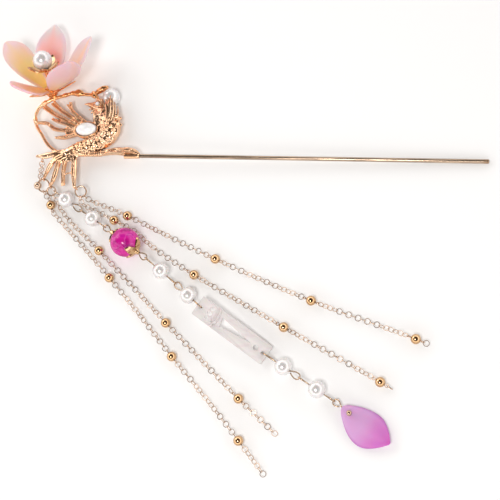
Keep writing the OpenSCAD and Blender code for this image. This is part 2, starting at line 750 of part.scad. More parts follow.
module tube_chain(start, route, count) {
    p = on_floor(start, route);
    s = runs(p);
    first = hang + link_d / 2 + clearance;
    end = last(link_places(count)) + link_d / 2;
    neck = gold_bead_d / 2 + 0.25;
    beads = [for (i = [0 : count[1] - 1]) bead_place(count, i)];
    // Stations: evenly along the plain stretches, four at each bead
    stretches = [for (i = [0 : count[1]])
        [i == 0 ? first : beads[i - 1] + neck + 0.2, i == count[1] ? end : beads[i] - neck - 0.2]];
    stations = [for (i = [0 : count[1]])
        let (a = stretches[i][0], b = stretches[i][1], n = max(1, ceil((b - a) / tube_step)))
        each concat(
            i == 0 ? [] : [[beads[i - 1] + neck, neck_r]],
            [for (k = [0 : n]) [mix(a, b, k / n), tube_r]],
            i == count[1] ? [] : [[beads[i] - neck, neck_r]])];
    color(gold) {
        ride(p, s, hang, count) rotate([90, 0, 0]) link();
        wire([for (q = stations) chain_point(p, s, q[0], count)], [for (q = stations) q[1]], 8);
    }
}

module gold_bead(start, route, count, i) {
    p = on_floor(start, route);
    color(bright_gold) ride(p, runs(p), bead_place(count, i), count)
        drilled_ball(gold_bead_d, bead_eye_wire * 2.7);
}

// The short chain from the first tail feather to the left ring
tail_start = laid(chain_eye - [0, tip_eye_r, 0]);
tail_end = ring_point(left_eye, left_heading, left_ring_d, 220);

module tail_chain() {
    way = tail_end - tail_start;
    t = unit(way);
    ends = link_r - link_wire / 2 - link_gap;
    // The last link stands askew to the ring's wire and holds it with a wider gap
    room = norm(way) - 2 * ends + tip_eye_wire / 2 + ring_wire / 2 + link_gap;
    // An even number of links, so that the first lies and the last stands
    n = 2 * ceil((room / pitch_max + 1) / 2);
    step = room / (n - 1);
    color(gold) for (k = [0 : n - 1])
        translate(tail_start + t * (ends - tip_eye_wire / 2 + k * step))
            rotate([0, -asin(t[2]), atan2(t[1], t[0])]) rotate([90 * k, 0, 0]) link();
}

// The strand: eye pins that hang in each other, the plaque and the petal drop

// The line of an eye that starts at a bead and runs out along +X
function eye_line(length) =
    [for (a = [0 : 29 : 319])
        [length * (1 - cos(a)) / 2, (eye_w - wire_d) / 2 / 0.77 * sin(a) * sin(a / 2), 0]];

function turned(p, a) = [for (q = p) [q[0], q[1] * cos(a) - q[2] * sin(a), q[1] * sin(a) + q[2] * cos(a)]];
function shifted(p, x) = [for (q = p) [q[0] + x, q[1], q[2]]];
function mirrored(p) = [for (i = [len(p) - 1 : -1 : 0]) [-p[i][0], p[i][1], p[i][2]]];

// Rows: name, heading seen from above, near and far height as shares of pearl_d, half
// length of the bead, near and far eye length, turn of the near and of the far eye
strand = [
    ["1", -32, 0.71, 0.26, pearl_d / 2, ring_eye_l, eye_l, 90, 0],
    ["2", -30, 0.26, 0.9, pearl_d / 2, eye_l, eye_l, 90, 90],
    ["large", -33, 0.9, 0.9, large_bead_d / 2 + cap_l, eye_l * 0.8, eye_l * 0.8, 0, 0],
    ["3", -37, 0.9, 0.26, pearl_d / 2, eye_l, eye_l, 90, 90],
    ["4", -37, 0.26, 0.76, pearl_d / 2, eye_l, eye_l, 0, 90],
    ["plaque", -32.3, 0.735, 0.27, plaque_l / 2 - plaque_inset, 0, 0, 0, 0],
    ["5", -29.5, 0.24, 0.73, pearl_d / 2, plaque_eye_l, eye_l, 90, 0],
    ["6", -30, 0.73, 0.3, pearl_d / 2, eye_l, eye_l, 90, 90],
    ["drop", -33, 0.3, 0.3, 0, 0, 0, 0, 0]];

function row_height(row, k) = row[0] == "large"
    ? floor_z + large_bead_d / 2 + 0.05
    : floor_z + row[k] * pearl_d;
function row_length(row) = 2 * row[4] + row[5] + row[6];
function row_slope(row) = row_length(row) == 0 ? 0
    : asin((row_height(row, 3) - row_height(row, 2)) / row_length(row));

// Wires that hold each other cross this far apart, and a wire holds the plaque in its hole
hold = wire_d + clearance;
function overlap(i) = strand[i][0] == "plaque" || strand[i - 1][0] == "plaque" ? 0 : hold;
strand_start = ring_point(middle_eye, middle_heading, middle_ring_d, 70);

// The near end of each row, seen from above
strand_xy = [for (i = 0, q = [strand_start[0], strand_start[1]]
                 - (ring_wire / 2 + wire_d / 2 + clearance) * [cos(strand[0][1]), sin(strand[0][1])];
    i < len(strand);
    q = q + row_length(strand[i]) * cos(row_slope(strand[i])) * [cos(strand[i][1]), sin(strand[i][1])]
        - (i + 1 < len(strand) ? overlap(i + 1) * [cos(strand[i + 1][1]), sin(strand[i + 1][1])] : [0, 0]),
    i = i + 1) q];

function row_index(name) = [for (i = [0 : len(strand) - 1]) if (strand[i][0] == name) i][0];

// Moves children to the middle of a row's bead, with +X down the strand
module on_strand(name) {
    i = row_index(name);
    row = strand[i];
    reach = row[5] + row[4];
    slope = row_slope(row);
    xy = strand_xy[i] + reach * cos(slope) * [cos(row[1]), sin(row[1])];
    translate([xy[0], xy[1], row_height(row, 2) + reach * sin(slope)]) rotate([0, -slope, row[1]]) children();
}

module pearl(name) {
    color(pearl_white) on_strand(name) drilled_ball(pearl_d, bead_bore);
}

module eye_pin(name) {
    row = strand[row_index(name)];
    near = turned(shifted(mirrored(eye_line(row[5])), -row[4]), row[7]);
    far = turned(shifted(eye_line(row[6]), row[4]), row[8]);
    color(gold) on_strand(name) even_wire(concat(near, far), wire_d / 2, 6);
}

module large_bead() {
    color(magenta) on_strand("large") drilled_ball(large_bead_d, bead_bore);
}

// A four-lobed cap with a small cone at its top
module bead_cap(side, span, lobe_w) {
    r = large_bead_d / 2;
    color(bright_gold) on_strand("large") rotate([0, side * 90, 0]) rotate([0, 0, 20]) {
        lobed_cap(r, span, 4, lobe_w, cap_wall, bead_bore);
        difference() {
            translate([0, 0, r + clearance + cap_wall / 2])
                cylinder(r1 = lobe_w * 0.4, r2 = bead_bore * 0.75, h = cap_l - cap_wall / 2 - clearance);
            cylinder(d = bead_bore, h = r * 3);
        }
    }
}

hole_d = wire_d * 2 + 0.3;

// The plaque runs from its first wire hole along +X
module plaque() {
    span = plaque_l - 2 * plaque_inset;
    corner = plaque_w * 0.06;
    leaf_r = plaque_w * 0.16;
    wedge = [[span * 0.31, plaque_w * 0.21], [span * 0.34, -plaque_w * 0.22], [span * 0.79, plaque_w * 0.03]];
    color(shell_white) on_strand("plaque") translate([-span / 2, 0, -plaque_t / 2]) difference() {
        union() {
            translate([-plaque_inset, corner - plaque_w / 2, 0]) cube([plaque_l, plaque_w - 2 * corner, plaque_t]);
            translate([corner - plaque_inset, -plaque_w / 2, 0]) cube([plaque_l - 2 * corner, plaque_w, plaque_t]);
            for (x = [corner - plaque_inset, span + plaque_inset - corner]) for (s = [-1, 1])
                translate([x, s * (plaque_w / 2 - corner), 0]) cylinder(r = corner, h = plaque_t);
        }
        for (x = [0, span]) translate([x, 0, -1]) cylinder(d = hole_d, h = plaque_t + 2);
        // Three leaf-shaped openings that fan out from the first hole
        for (k = [-1 : 1]) translate([span * 0.135, k * plaque_w * 0.25, -1]) rotate([0, 0, k * 28])
            linear_extrude(plaque_t + 2) intersection() {
                translate([0, leaf_r * 0.45]) circle(leaf_r);
                translate([0, -leaf_r * 0.45]) circle(leaf_r);
            }
        translate([0, 0, -1]) linear_extrude(plaque_t + 2) polygon(wedge);
        translate([span * 0.885, 0, -1]) cylinder(d = plaque_w * 0.28, h = plaque_t + 2, $fn = 6);
    }
}

// Rows: share of the length, share of the half width
drop_outline = [
    [0, 0.06], [0.05, 0.28], [0.12, 0.44], [0.24, 0.7], [0.38, 0.9], [0.54, 1], [0.68, 0.93],
    [0.8, 0.7], [0.91, 0.38], [1, 0.04]];
drop_cup = 1.9;
drop_lift = 0.35;
drop_sway = 1;

// Moves children to the drop's hole, with +X down the drop
module on_drop() {
    i = row_index("drop");
    a = strand[i][1];
    q = strand_xy[i] + drop_wire_l * [cos(a), sin(a)];
    translate([q[0], q[1], floor_z + drop_cup + drop_lift]) rotate([0, 0, a]) children();
}

// The drop lies with its hollow side down
module drop() {
    color(lilac) on_drop() difference() {
        translate([-drop_inset, 0, 0]) rotate([180, 0, 0])
            skin(leaf(drop_outline, drop_l, drop_w, drop_t, drop_cup, drop_lift, drop_sway));
        translate([0, 0, -drop_t * 2]) cylinder(d = hole_d, h = drop_t * 4);
    }
}

// The drop's wire: a ball on top, down through the hole, under the drop and out to an eye
module drop_wire() {
    i = row_index("drop");
    eye_z = row_height(strand[i], 2) - (floor_z + drop_cup + drop_lift);
    out = drop_wire_l - drop_inset - 0.4;
    under = -drop_t / 2 - wire_d / 2 - 0.25;
    ball = hole_d * 0.75;
    top = drop_t / 2 + 0.3 + ball * 0.8;
    route = concat(
        mirrored(shifted([for (q = eye_line(out)) [q[0], q[1], eye_z]], drop_wire_l - out)),
        [[-drop_inset * 0.7, 0, under], [-0.35, 0, under], [0, 0, under * 0.4], [0, 0, top]]);
    color(gold) on_drop() {
        even_wire(route, wire_d / 2, 6);
        translate([0, 0, top]) sphere(ball);
    }
}

phoenix();
pin();
for (place = petal_places) petal(place);
flower_cup();
flower_pearl();
crest_pearl();
wing_pearl();
eye_stone();
left_ring();
jump_ring(middle_eye, middle_heading, middle_ring_d);  // middle_ring
jump_ring(right_eye, right_heading, right_ring_d);  // right_ring
tail_chain();
for (i = [1 : pearls]) pearl(str(i));
for (i = [1 : pearls]) eye_pin(str(i));
large_bead();
bead_cap(-1, large_bead_d * 0.33, large_bead_d * 0.26);  // upper_cap
bead_cap(1, large_bead_d * 0.42, large_bead_d * 0.28);  // lower_cap
eye_pin("large");  // eye_pin_large
plaque();
drop();
drop_wire();
link_chain(start_a, route_a, count_a);  // chain_a
link_chain(start_b, route_b, count_b);  // chain_b
tube_chain(start_c, route_c, count_c);  // chain_c
tube_chain(start_d, route_d, count_d);  // chain_d
for (i = [1 : beads_a]) gold_bead(start_a, route_a, count_a, i - 1);
for (i = [1 : beads_b]) gold_bead(start_b, route_b, count_b, i - 1);
for (i = [1 : beads_c]) gold_bead(start_c, route_c, count_c, i - 1);
for (i = [1 : beads_d]) gold_bead(start_d, route_d, count_d, i - 1);
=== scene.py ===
import math

import bpy
from bpy.props import FloatProperty, FloatVectorProperty, IntProperty, PointerProperty
from mathutils import Matrix, Vector
from mathutils.noise import voronoi


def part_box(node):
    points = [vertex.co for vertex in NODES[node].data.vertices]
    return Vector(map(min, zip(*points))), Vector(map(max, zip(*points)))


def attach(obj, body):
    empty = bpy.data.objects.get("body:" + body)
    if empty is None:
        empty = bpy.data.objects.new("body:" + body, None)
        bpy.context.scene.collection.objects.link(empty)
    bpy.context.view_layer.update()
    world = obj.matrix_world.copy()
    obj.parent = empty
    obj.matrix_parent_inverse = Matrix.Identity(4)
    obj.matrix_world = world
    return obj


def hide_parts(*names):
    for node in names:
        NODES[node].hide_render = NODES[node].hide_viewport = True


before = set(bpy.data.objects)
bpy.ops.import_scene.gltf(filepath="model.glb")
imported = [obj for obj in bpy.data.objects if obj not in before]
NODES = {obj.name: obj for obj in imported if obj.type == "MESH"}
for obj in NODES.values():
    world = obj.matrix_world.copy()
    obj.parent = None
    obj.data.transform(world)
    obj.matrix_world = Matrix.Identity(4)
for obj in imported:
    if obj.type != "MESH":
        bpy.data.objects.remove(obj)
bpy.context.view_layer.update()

bl_info = {
    "name": "Buyao Hairpin",
    "version": (1, 0, 0),
    "blender": (4, 5, 0),
    "location": "View3D > Sidebar > Hairpin",
    "description": "Dresses the hairpin's frame with its metal, glass, pearls and chains",
    "category": "Object",
}

MM = 0.001
FLOOR_Z = min(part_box(name)[0].z for name in NODES)


# Settings that a user would change


def metal_colour(name, description, default):
    return FloatVectorProperty(name=name, description=description, default=default, size=3,
                               min=0, max=1, subtype="COLOR")


def length(name, description, default):
    return FloatProperty(name=name, description=description, default=default, min=0,
                         subtype="DISTANCE", unit="LENGTH")


class HairpinMetals(bpy.types.PropertyGroup):
    casting: metal_colour("Casting", "Rose gold of the phoenix", (0.82, 0.48, 0.28))
    pin: metal_colour("Pin", "Dull gold of the pin and the wires", (0.54, 0.40, 0.29))
    bright: metal_colour("Bright gold", "Gold of beads, caps and cup", (0.66, 0.43, 0.24))
    chain: metal_colour("Chain", "Rose gold of rings and chains", (0.66, 0.49, 0.37))
    cast_voxel: length("Casting detail", "Smallest detail kept on the casting", 0.19 * MM)


class HairpinFlower(bpy.types.PropertyGroup):
    petal_length: length("Petal length", "Length of a glass petal", 24 * MM)
    petal_width: length("Petal width", "Width of a glass petal", 13 * MM)
    petal_thickness: length("Petal thickness", "Thickness in a petal's middle", 1.1 * MM)
    petal_open: FloatProperty(name="Opening", description="Angle between the flower's axis and its petals",
                              default=math.radians(45), subtype="ANGLE")
    seat_width: length("Seat", "Diameter of the seat under the petals", 7 * MM)


class HairpinDrop(bpy.types.PropertyGroup):
    length: length("Length", "Length of the petal drop", 19.8 * MM)
    width: length("Width", "Width of the petal drop", 12.6 * MM)
    thickness: length("Thickness", "Thickness of the petal drop", 1.6 * MM)


class HairpinChains(bpy.types.PropertyGroup):
    link_width: length("Link", "Outer diameter of a link", 2.3 * MM)
    link_wire: length("Link wire", "Wire diameter of a link", 0.25 * MM)
    link_gap: length("Link gap", "Gap between links that hold each other", 0.1 * MM)
    bead_width: length("Bead", "Diameter of the gold beads", 3.5 * MM)
    eye_width: length("Bead eye", "Diameter of the eyes beside a bead", 1.5 * MM)
    links_between: IntProperty(name="Links", description="Links from one bead to the next", default=19)
    roll: FloatProperty(name="Roll", description="How far the links roll to and fro along a chain",
                        default=math.radians(38), subtype="ANGLE")


class HairpinStage(bpy.types.PropertyGroup):
    floor_size: length("Floor", "Side of the floor", 12.0)
    floor_colour: metal_colour("Floor colour", "Pale colour of the floor", (0.96, 0.96, 0.955))
    lens: FloatProperty(name="Lens", description="Focal length on a 36 mm sensor", default=68.8,
                        subtype="DISTANCE_CAMERA")


# Materials


class Line:
    """A socket of a material that takes part in Python expressions."""

    def __init__(self, finish, socket):
        self.finish = finish
        self.socket = socket

    def maths(self, operation, *values):
        return self.finish.line("ShaderNodeMath", 0, {"operation": operation}, dict(enumerate(values)))

    def __add__(self, other):
        return self.maths("ADD", self, other)

    __radd__ = __add__

    def __sub__(self, other):
        return self.maths("SUBTRACT", self, other)

    def __rsub__(self, other):
        return self.maths("SUBTRACT", other, self)

    def __mul__(self, other):
        return self.maths("MULTIPLY", self, other)

    __rmul__ = __mul__

    def __abs__(self):
        return self.maths("ABSOLUTE", self)

    def clamped(self):
        return self.maths("MINIMUM", self.maths("MAXIMUM", self, 0.0), 1.0)

    def step(self, low, high):
        """0 below low, 1 above high, smooth between."""
        return self.finish.line(
            "ShaderNodeMapRange", "Result", {"interpolation_type": "SMOOTHSTEP"},
            {"Value": self, "From Min": low, "From Max": high})


def set_stops(ramp, stops):
    """Gives a colour ramp its stops, each a place from 0 to 1 and a colour."""
    while len(ramp.elements) < len(stops):
        ramp.elements.new(0.5)
    for element, (place, colour) in zip(ramp.elements, stops):
        element.position = place
        element.color = (*colour, 1)


class Finish:
    """A material, and the one way in which nodes are added to it."""

    def __init__(self, name, **uniform):
        self.material = bpy.data.materials.new(name)
        self.material.use_nodes = True
        self.tree = self.material.node_tree
        self.surface = self.tree.nodes["Principled BSDF"]
        self.give(**uniform)

    def set(self, node, sockets):
        for key, value in sockets.items():
            socket = node.inputs[key]
            if isinstance(value, Line):
                self.tree.links.new(value.socket, socket)
            elif socket.type == "RGBA":
                socket.default_value = (*value[:3], 1)
            else:
                socket.default_value = value

    def node(self, kind, settings=None, sockets=None):
        node = self.tree.nodes.new(kind)
        for key, value in (settings or {}).items():
            if key == "stops":
                set_stops(node.color_ramp, value)
            else:
                setattr(node, key, value)
        self.set(node, sockets or {})
        return node

    def line(self, kind, output, settings=None, sockets=None):
        return Line(self, self.node(kind, settings, sockets).outputs[output])

    def axis(self, kind, name):
        """One axis of a piece's Object place or of its UV map."""
        place = self.line("ShaderNodeTexCoord", kind)
        return self.line("ShaderNodeSeparateXYZ", name, None, {0: place})

    def noise(self, per_mm, detail, stretch=(1, 1, 1)):
        """Noise of about per_mm features a millimetre, from 0 to 1."""
        size = tuple(per_mm / MM * share for share in stretch)
        place = self.line("ShaderNodeTexCoord", "Object")
        scaled = self.line("ShaderNodeMapping", 0, None, {"Vector": place, "Scale": size})
        return self.line("ShaderNodeTexNoise", "Fac", None,
                         {"Vector": scaled, "Scale": 1.0, "Detail": detail})

    def mix(self, share, first, second):
        """The first colour at share 0, the second at 1."""
        return self.line("ShaderNodeMix", 2, {"data_type": "RGBA"}, {0: share, 6: first, 7: second})

    def ramp(self, value, stops):
        return self.line("ShaderNodeValToRGB", "Color", {"stops": stops}, {"Fac": value})

    def groove_shade(self, reach_mm, low, high):
        """1 deep in the grooves of a piece, 0 on its open faces and ridges, from ambient occlusion: the mask
        for painted shade in the grooves.
        """
        shut = self.line("ShaderNodeAmbientOcclusion", "AO", {"samples": 6, "only_local": True},
                         {"Distance": reach_mm * MM})
        return 1 - shut.step(low, high)

    def bump(self, height, strength, depth_mm):
        self.give(Normal=self.line("ShaderNodeBump", "Normal", None, {
            "Height": height, "Strength": strength, "Distance": depth_mm * MM}))

    def give(self, **sockets):
        """Sets sockets of the surface, named with underscores, and gives the material back."""
        self.set(self.surface, {name.replace("_", " "): value for name, value in sockets.items()})
        return self.material


def dimmed(colour, share):
    return tuple(part * share for part in colour)


def cast_gold(colour):
    """Rose gold plating over a casting: painted shade in the grooves, deeper in tone on the branch."""
    finish = Finish("rose gold", Metallic=1.0)
    grain = finish.noise(1.4, 4)
    cloud = finish.noise(0.25, 2)
    height = finish.axis("Object", "Y")
    warm = finish.mix(cloud.step(0.35, 0.7), colour, (0.90, 0.60, 0.40))
    deep = finish.mix(height.step(20.5 * MM, 23.5 * MM) * 0.7, warm, (0.82, 0.36, 0.12))
    # Painted shade: where ambient occlusion finds a groove, the colour is mixed towards dark brown.
    toned = finish.mix(finish.groove_shade(0.9, 0.3, 0.85) * 0.9, deep, (0.11, 0.05, 0.03))
    finish.bump(grain, 0.3, 0.06)
    return finish.give(Base_Color=toned, Roughness=0.14 + grain * 0.14)


def plated(name, colour, shade, rough, marks_per_mm=3.2):
    """Polished plating with faint clouds and fine handling marks."""
    finish = Finish(name, Metallic=1.0)
    cloud = finish.noise(0.3, 3)
    marks = finish.noise(marks_per_mm, 4)
    toned = finish.mix(cloud.step(0.3, 0.75), colour, shade)
    finish.bump(marks, 0.12, 0.02)
    return finish.give(Base_Color=toned, Roughness=rough + marks * 0.06)


def drawn_gold(colour):
    """The pin's drawn wire: fine marks along it and a darker end."""
    finish = Finish("drawn pale gold", Metallic=1.0)
    marks = finish.noise(2.5, 3, (0.04, 1, 1))
    along = finish.axis("Object", "X")
    toward_tip = along.step(PIN_L - PIN_DARK_FROM, PIN_L - PIN_DARK_TO)
    toned = finish.mix(marks.step(0.3, 0.7), colour, dimmed(colour, 0.5))
    ended = finish.mix(toward_tip * 0.6, toned, (0.36, 0.22, 0.13))
    finish.bump(marks, 0.2, 0.02)
    return finish.give(Base_Color=ended, Roughness=0.16 + marks * 0.12)


def nacre(name, tint, lustre):
    """Pearl: milky body with a soft metallic lustre and a clear coat."""
    finish = Finish(name, Subsurface_Weight=0.1, Subsurface_Scale=0.6 * MM, Coat_Weight=0.35,
                    Coat_Roughness=0.12)
    cloud = finish.noise(0.22, 2)
    fine = finish.noise(3.0, 3)
    toned = finish.mix(cloud.step(0.3, 0.7), dimmed(tint, 0.95), tint)
    finish.bump(fine, 0.03, 0.02)
    return finish.give(Base_Color=toned, Roughness=0.24 + cloud * 0.08, Metallic=lustre + cloud * 0.1)


def frosted_petal(name, stops, edge, streak):
    """Frosted glass from a warm root to a pale tip, with paler rims, a warm streak and a painted glow: the
    petal faintly emits its own colour, standing in for light through the glass.
    """
    # Painted light: Emission Strength makes the petal glow faintly though it is no lamp.
    finish = Finish(name, Transmission_Weight=0.25, IOR=1.3, Subsurface_Weight=0.5,
                    Subsurface_Scale=1.5 * MM, Coat_Weight=0.08, Coat_Roughness=0.35,
                    Specular_IOR_Level=0.3, Emission_Strength=0.07)
    side, along = finish.axis("UV", "X"), finish.axis("UV", "Y")
    across = abs(side - 0.5) * 2.0
    cloud = finish.noise(0.12, 2)
    inner = finish.ramp((along + (cloud - 0.5) * 0.25 + across * 0.1).clamped(), stops)
    middle, share, colour = streak
    glow = (1 - (abs(side - middle) * 2.0).step(0.05, 0.45)) * share
    toned = finish.mix(across.step(0.55, 1.0) * 0.75, finish.mix(glow, inner, colour), edge)
    frost = finish.noise(5.0, 3)
    finish.bump(frost, 0.12, 0.03)
    # Painted light: the petal's colour is also its emission colour, a glow standing in for light through the
    # glass.
    return finish.give(Base_Color=toned, Emission_Color=toned, Roughness=0.42 + frost * 0.16)


def magenta_agate():
    """Polished magenta stone with darker clouds and pale veins."""
    finish = Finish("magenta agate", Coat_Weight=0.2, Coat_Roughness=0.06, Specular_IOR_Level=0.25)
    cloud = finish.noise(0.3, 4)
    vein = abs(finish.noise(0.22, 5) - 0.5) * 2.0
    base = finish.ramp(cloud, [(0.3, (0.31, 0.005, 0.16)), (0.46, (0.52, 0.006, 0.23)),
                               (0.6, (0.62, 0.015, 0.30)), (0.75, (0.43, 0.008, 0.26))])
    toned = finish.mix((1 - vein.step(0.0, 0.06)) * 0.25, base, (0.85, 0.25, 0.62))
    return finish.give(Base_Color=toned, Roughness=0.12 + cloud * 0.1)


def carved_shell():
    """Mother of pearl: pale growth bands that run a little pink, under a clear polish."""
    finish = Finish("carved shell", Subsurface_Weight=0.1, Subsurface_Scale=0.5 * MM, Coat_Weight=0.15,
                    Coat_Roughness=0.3)
    bands = finish.noise(0.5, 3, (0.5, 1.6, 1))
    toned = finish.ramp(bands, [(0.3, (0.66, 0.58, 0.58)), (0.5, (0.70, 0.65, 0.64)),
                                (0.7, (0.68, 0.66, 0.62))])
    finish.bump(bands, 0.05, 0.02)
    return finish.give(Base_Color=toned, Roughness=0.38 + bands * 0.12)


def lilac_glass():
    """Frosted glass petal drop, lilac at the top and magenta at the point, darker at the rim."""
    finish = Finish("lilac glass", Transmission_Weight=0.2, IOR=1.4, Subsurface_Weight=0.4,
                    Subsurface_Scale=1.2 * MM, Coat_Weight=0.1, Coat_Roughness=0.35,
                    Specular_IOR_Level=0.3)
    across = abs(finish.axis("UV", "X") - 0.5) * 2.0
    along = finish.axis("UV", "Y")
    cloud = finish.noise(0.15, 2)
    inner = finish.ramp((along + (cloud - 0.5) * 0.3).clamped(),
                        [(0.0, (0.74, 0.42, 0.72)), (0.4, (0.75, 0.42, 0.74)),
                         (0.7, (0.74, 0.24, 0.65)), (1.0, (0.68, 0.15, 0.60))])
    toned = finish.mix(across.step(0.75, 1.0) * 0.6, inner, (0.45, 0.10, 0.48))
    frost = finish.noise(4.0, 3)
    finish.bump(frost, 0.1, 0.03)
    return finish.give(Base_Color=toned, Roughness=0.45 + frost * 0.14)


# Work on pieces


def only(piece):
    """Deselects everything else and makes the piece the active one."""
    bpy.ops.object.select_all(action="DESELECT")
    piece.select_set(True)
    bpy.context.view_layer.objects.active = piece


def added(operator, **settings):
    """Adds a primitive, a lamp or the camera with nothing else selected."""
    bpy.ops.object.select_all(action="DESELECT")
    operator(**settings)
    return bpy.context.object


def apply(piece, kind, **settings):
    """Adds a modifier, sets it and applies it."""
    only(piece)
    modifier = piece.modifiers.new(kind.title(), kind)
    for key, value in settings.items():
        setattr(modifier, key, value)
    bpy.ops.object.modifier_apply(modifier=modifier.name)


def merged_copy(node, name):
    """A copy of a frame node's mesh with its loose triangles joined up."""
    piece = NODES[node].copy()
    piece.data = NODES[node].data.copy()
    piece.name = name
    piece.parent = None
    for key in [k for k in piece.keys() if k.startswith("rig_")]:
        del piece[key]
    bpy.context.scene.collection.objects.link(piece)
    only(piece)
    bpy.ops.object.mode_set(mode="EDIT")
    bpy.ops.mesh.select_all(action="SELECT")
    bpy.ops.mesh.remove_doubles(threshold=0.001 * MM)
    bpy.ops.object.mode_set(mode="OBJECT")
    return piece


def smooth(piece, degrees=None):
    """Smooth shading, with edges kept past an angle where one is given."""
    only(piece)
    if degrees is None:
        bpy.ops.object.shade_smooth()
    else:
        bpy.ops.object.shade_smooth_by_angle(angle=math.radians(degrees))


def carve(piece, cutter):
    """Takes the cutter's shape out of the piece, and the cutter out of the scene."""
    apply(piece, "BOOLEAN", operation="DIFFERENCE", object=cutter, solver="EXACT")
    bpy.data.objects.remove(cutter)


def mount(piece, name, material, slot, *nodes):
    """Applies the piece's place, names it and puts it in its nodes' place on the hairpin."""
    only(piece)
    bpy.ops.object.transform_apply(location=True, rotation=True, scale=True)
    piece.name = name
    piece.data.name = name
    coat(piece, material)
    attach(piece, "root")
    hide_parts(*nodes)


def coat(piece, material):
    piece.data.materials.clear()
    piece.data.materials.append(material)


def joined(pieces):
    bpy.ops.object.select_all(action="DESELECT")
    for piece in pieces:
        piece.select_set(True)
    bpy.context.view_layer.objects.active = pieces[0]
    bpy.ops.object.join()
    return bpy.context.object


def curved_copies(pattern, places):
    """One mesh of copies of a pattern, each at its own matrix."""
    copies = []
    for place in places:
        copy = pattern.copy()
        copy.data = pattern.data.copy()
        copy.data.transform(place)
        bpy.context.scene.collection.objects.link(copy)
        copies.append(copy)
    bpy.data.objects.remove(pattern)
    return joined(copies)


# The casting's own frame, which lies a little turned on the surface

ROOT_H = 3.2 * MM
PIN_D = 1.5 * MM
PIN_L = 126 * MM
# Where the pin's darker end begins and where it is full, back from its tip
PIN_DARK_FROM = 2.4 * MM
PIN_DARK_TO = 1.4 * MM
PITCH = math.asin((ROOT_H - PIN_D / 2) / PIN_L)
ROLL = math.radians(-2)
LAID = Matrix.Rotation(PITCH, 4, "Y") @ Matrix.Rotation(ROLL, 4, "X")
CASTING_W = 44.5 * MM


def spot(x, y, z_mm=0.0):
    """A place on the casting, in hundredths of its width."""
    return Vector((x * CASTING_W / 100, y * CASTING_W / 100, z_mm * MM))


def turned(degrees, axis):
    return Matrix.Rotation(math.radians(degrees), 4, axis)


def neighbours(rows, i):
    """The ends of stretch i and the rows before and after them, with the end rows repeated."""
    return (rows[min(max(k, 0), len(rows) - 1)] for k in (i - 1, i, i + 1, i + 2))


def curve_point(points, i, t):
    """A point of a smooth curve through the points, at a share t of stretch i."""
    a, b, c, d = neighbours(points, i)
    return (2 * b + (c - a) * t + (2 * a - 5 * b + 4 * c - d) * t**2
            + (3 * b - a - 3 * c + d) * t**3) / 2


# The flower

FLOWER_AT = Vector((-86, 56, 1.5)) * CASTING_W / 100
FLOWER_HEADING = 3
FLOWER_LEAN = -39
FLOWER = (LAID @ Matrix.Translation(FLOWER_AT) @ turned(FLOWER_HEADING, "Z")
          @ turned(FLOWER_LEAN, "X"))
SEAT_T = 1.2 * MM
PETAL_CUP = 0.9 * MM
PETAL_BOW = 1.2 * MM
PETAL_GAP = 0.15 * MM
PETAL_INSET = 1.1 * MM
LEAF_ROWS = 26
LEAF_COLUMNS = 12
# Power that crowds a leaf's rows toward its tip
TIP_CROWDING = 1.15
# The weight of a leaf's thickness: the least, how soon it grows with the width, the loss at the
# rim, and the share of the thickness that is left at weight 0
LEAF_LEAST = 0.12
LEAF_GROWTH = 2.5
LEAF_RIM_LOSS = 0.72
LEAF_UNWEIGHTED = 0.15
# Rows: share of the length, share of the half width
PETAL_OUTLINE = [
    (0, 0.3), (0.14, 0.54), (0.28, 0.74), (0.42, 0.9), (0.54, 0.99), (0.64, 0.99), (0.74, 0.9),
    (0.83, 0.72), (0.91, 0.47), (0.97, 0.22), (1, 0.08)]
BLUNT_OUTLINE = [
    (0, 0.3), (0.14, 0.52), (0.28, 0.72), (0.42, 0.9), (0.56, 1.0), (0.68, 1.02), (0.78, 0.96),
    (0.87, 0.76), (0.94, 0.48), (0.98, 0.24), (1, 0.1)]
# Rows: node, direction, opening beyond the setting and share of the length, then turn about its
# length and sideways bow in mm
PETALS = [
    ("petal_right", 24, 2, 1.0, 6, 0.0),
    ("petal_top", 89, -2, 1.0, 0, 1.6),
    ("petal_left", 161, -7, 0.94, 0, -0.4),
    ("petal_lower", 237, 11, 0.68, -8, 0.0),
    ("petal_front", 324, 2, 1.0, -20, 0.0)]


def smooth_row(rows, share):
    """The outline's half width at a share of the length, on a smooth curve through the rows."""
    i = max(k for k in range(len(rows) - 1) if rows[k][0] <= share)
    a, b, c, d = neighbours(rows, i)
    t = (share - b[0]) / (c[0] - b[0])
    slope = (c[1] - a[1]) / (c[0] - a[0]) * (c[0] - b[0])
    next_slope = (d[1] - b[1]) / (d[0] - b[0]) * (c[0] - b[0])
    return ((2 * t**3 - 3 * t**2 + 1) * b[1] + (t**3 - 2 * t**2 + t) * slope
            + (3 * t**2 - 2 * t**3) * c[1] + (t**3 - t**2) * next_slope)


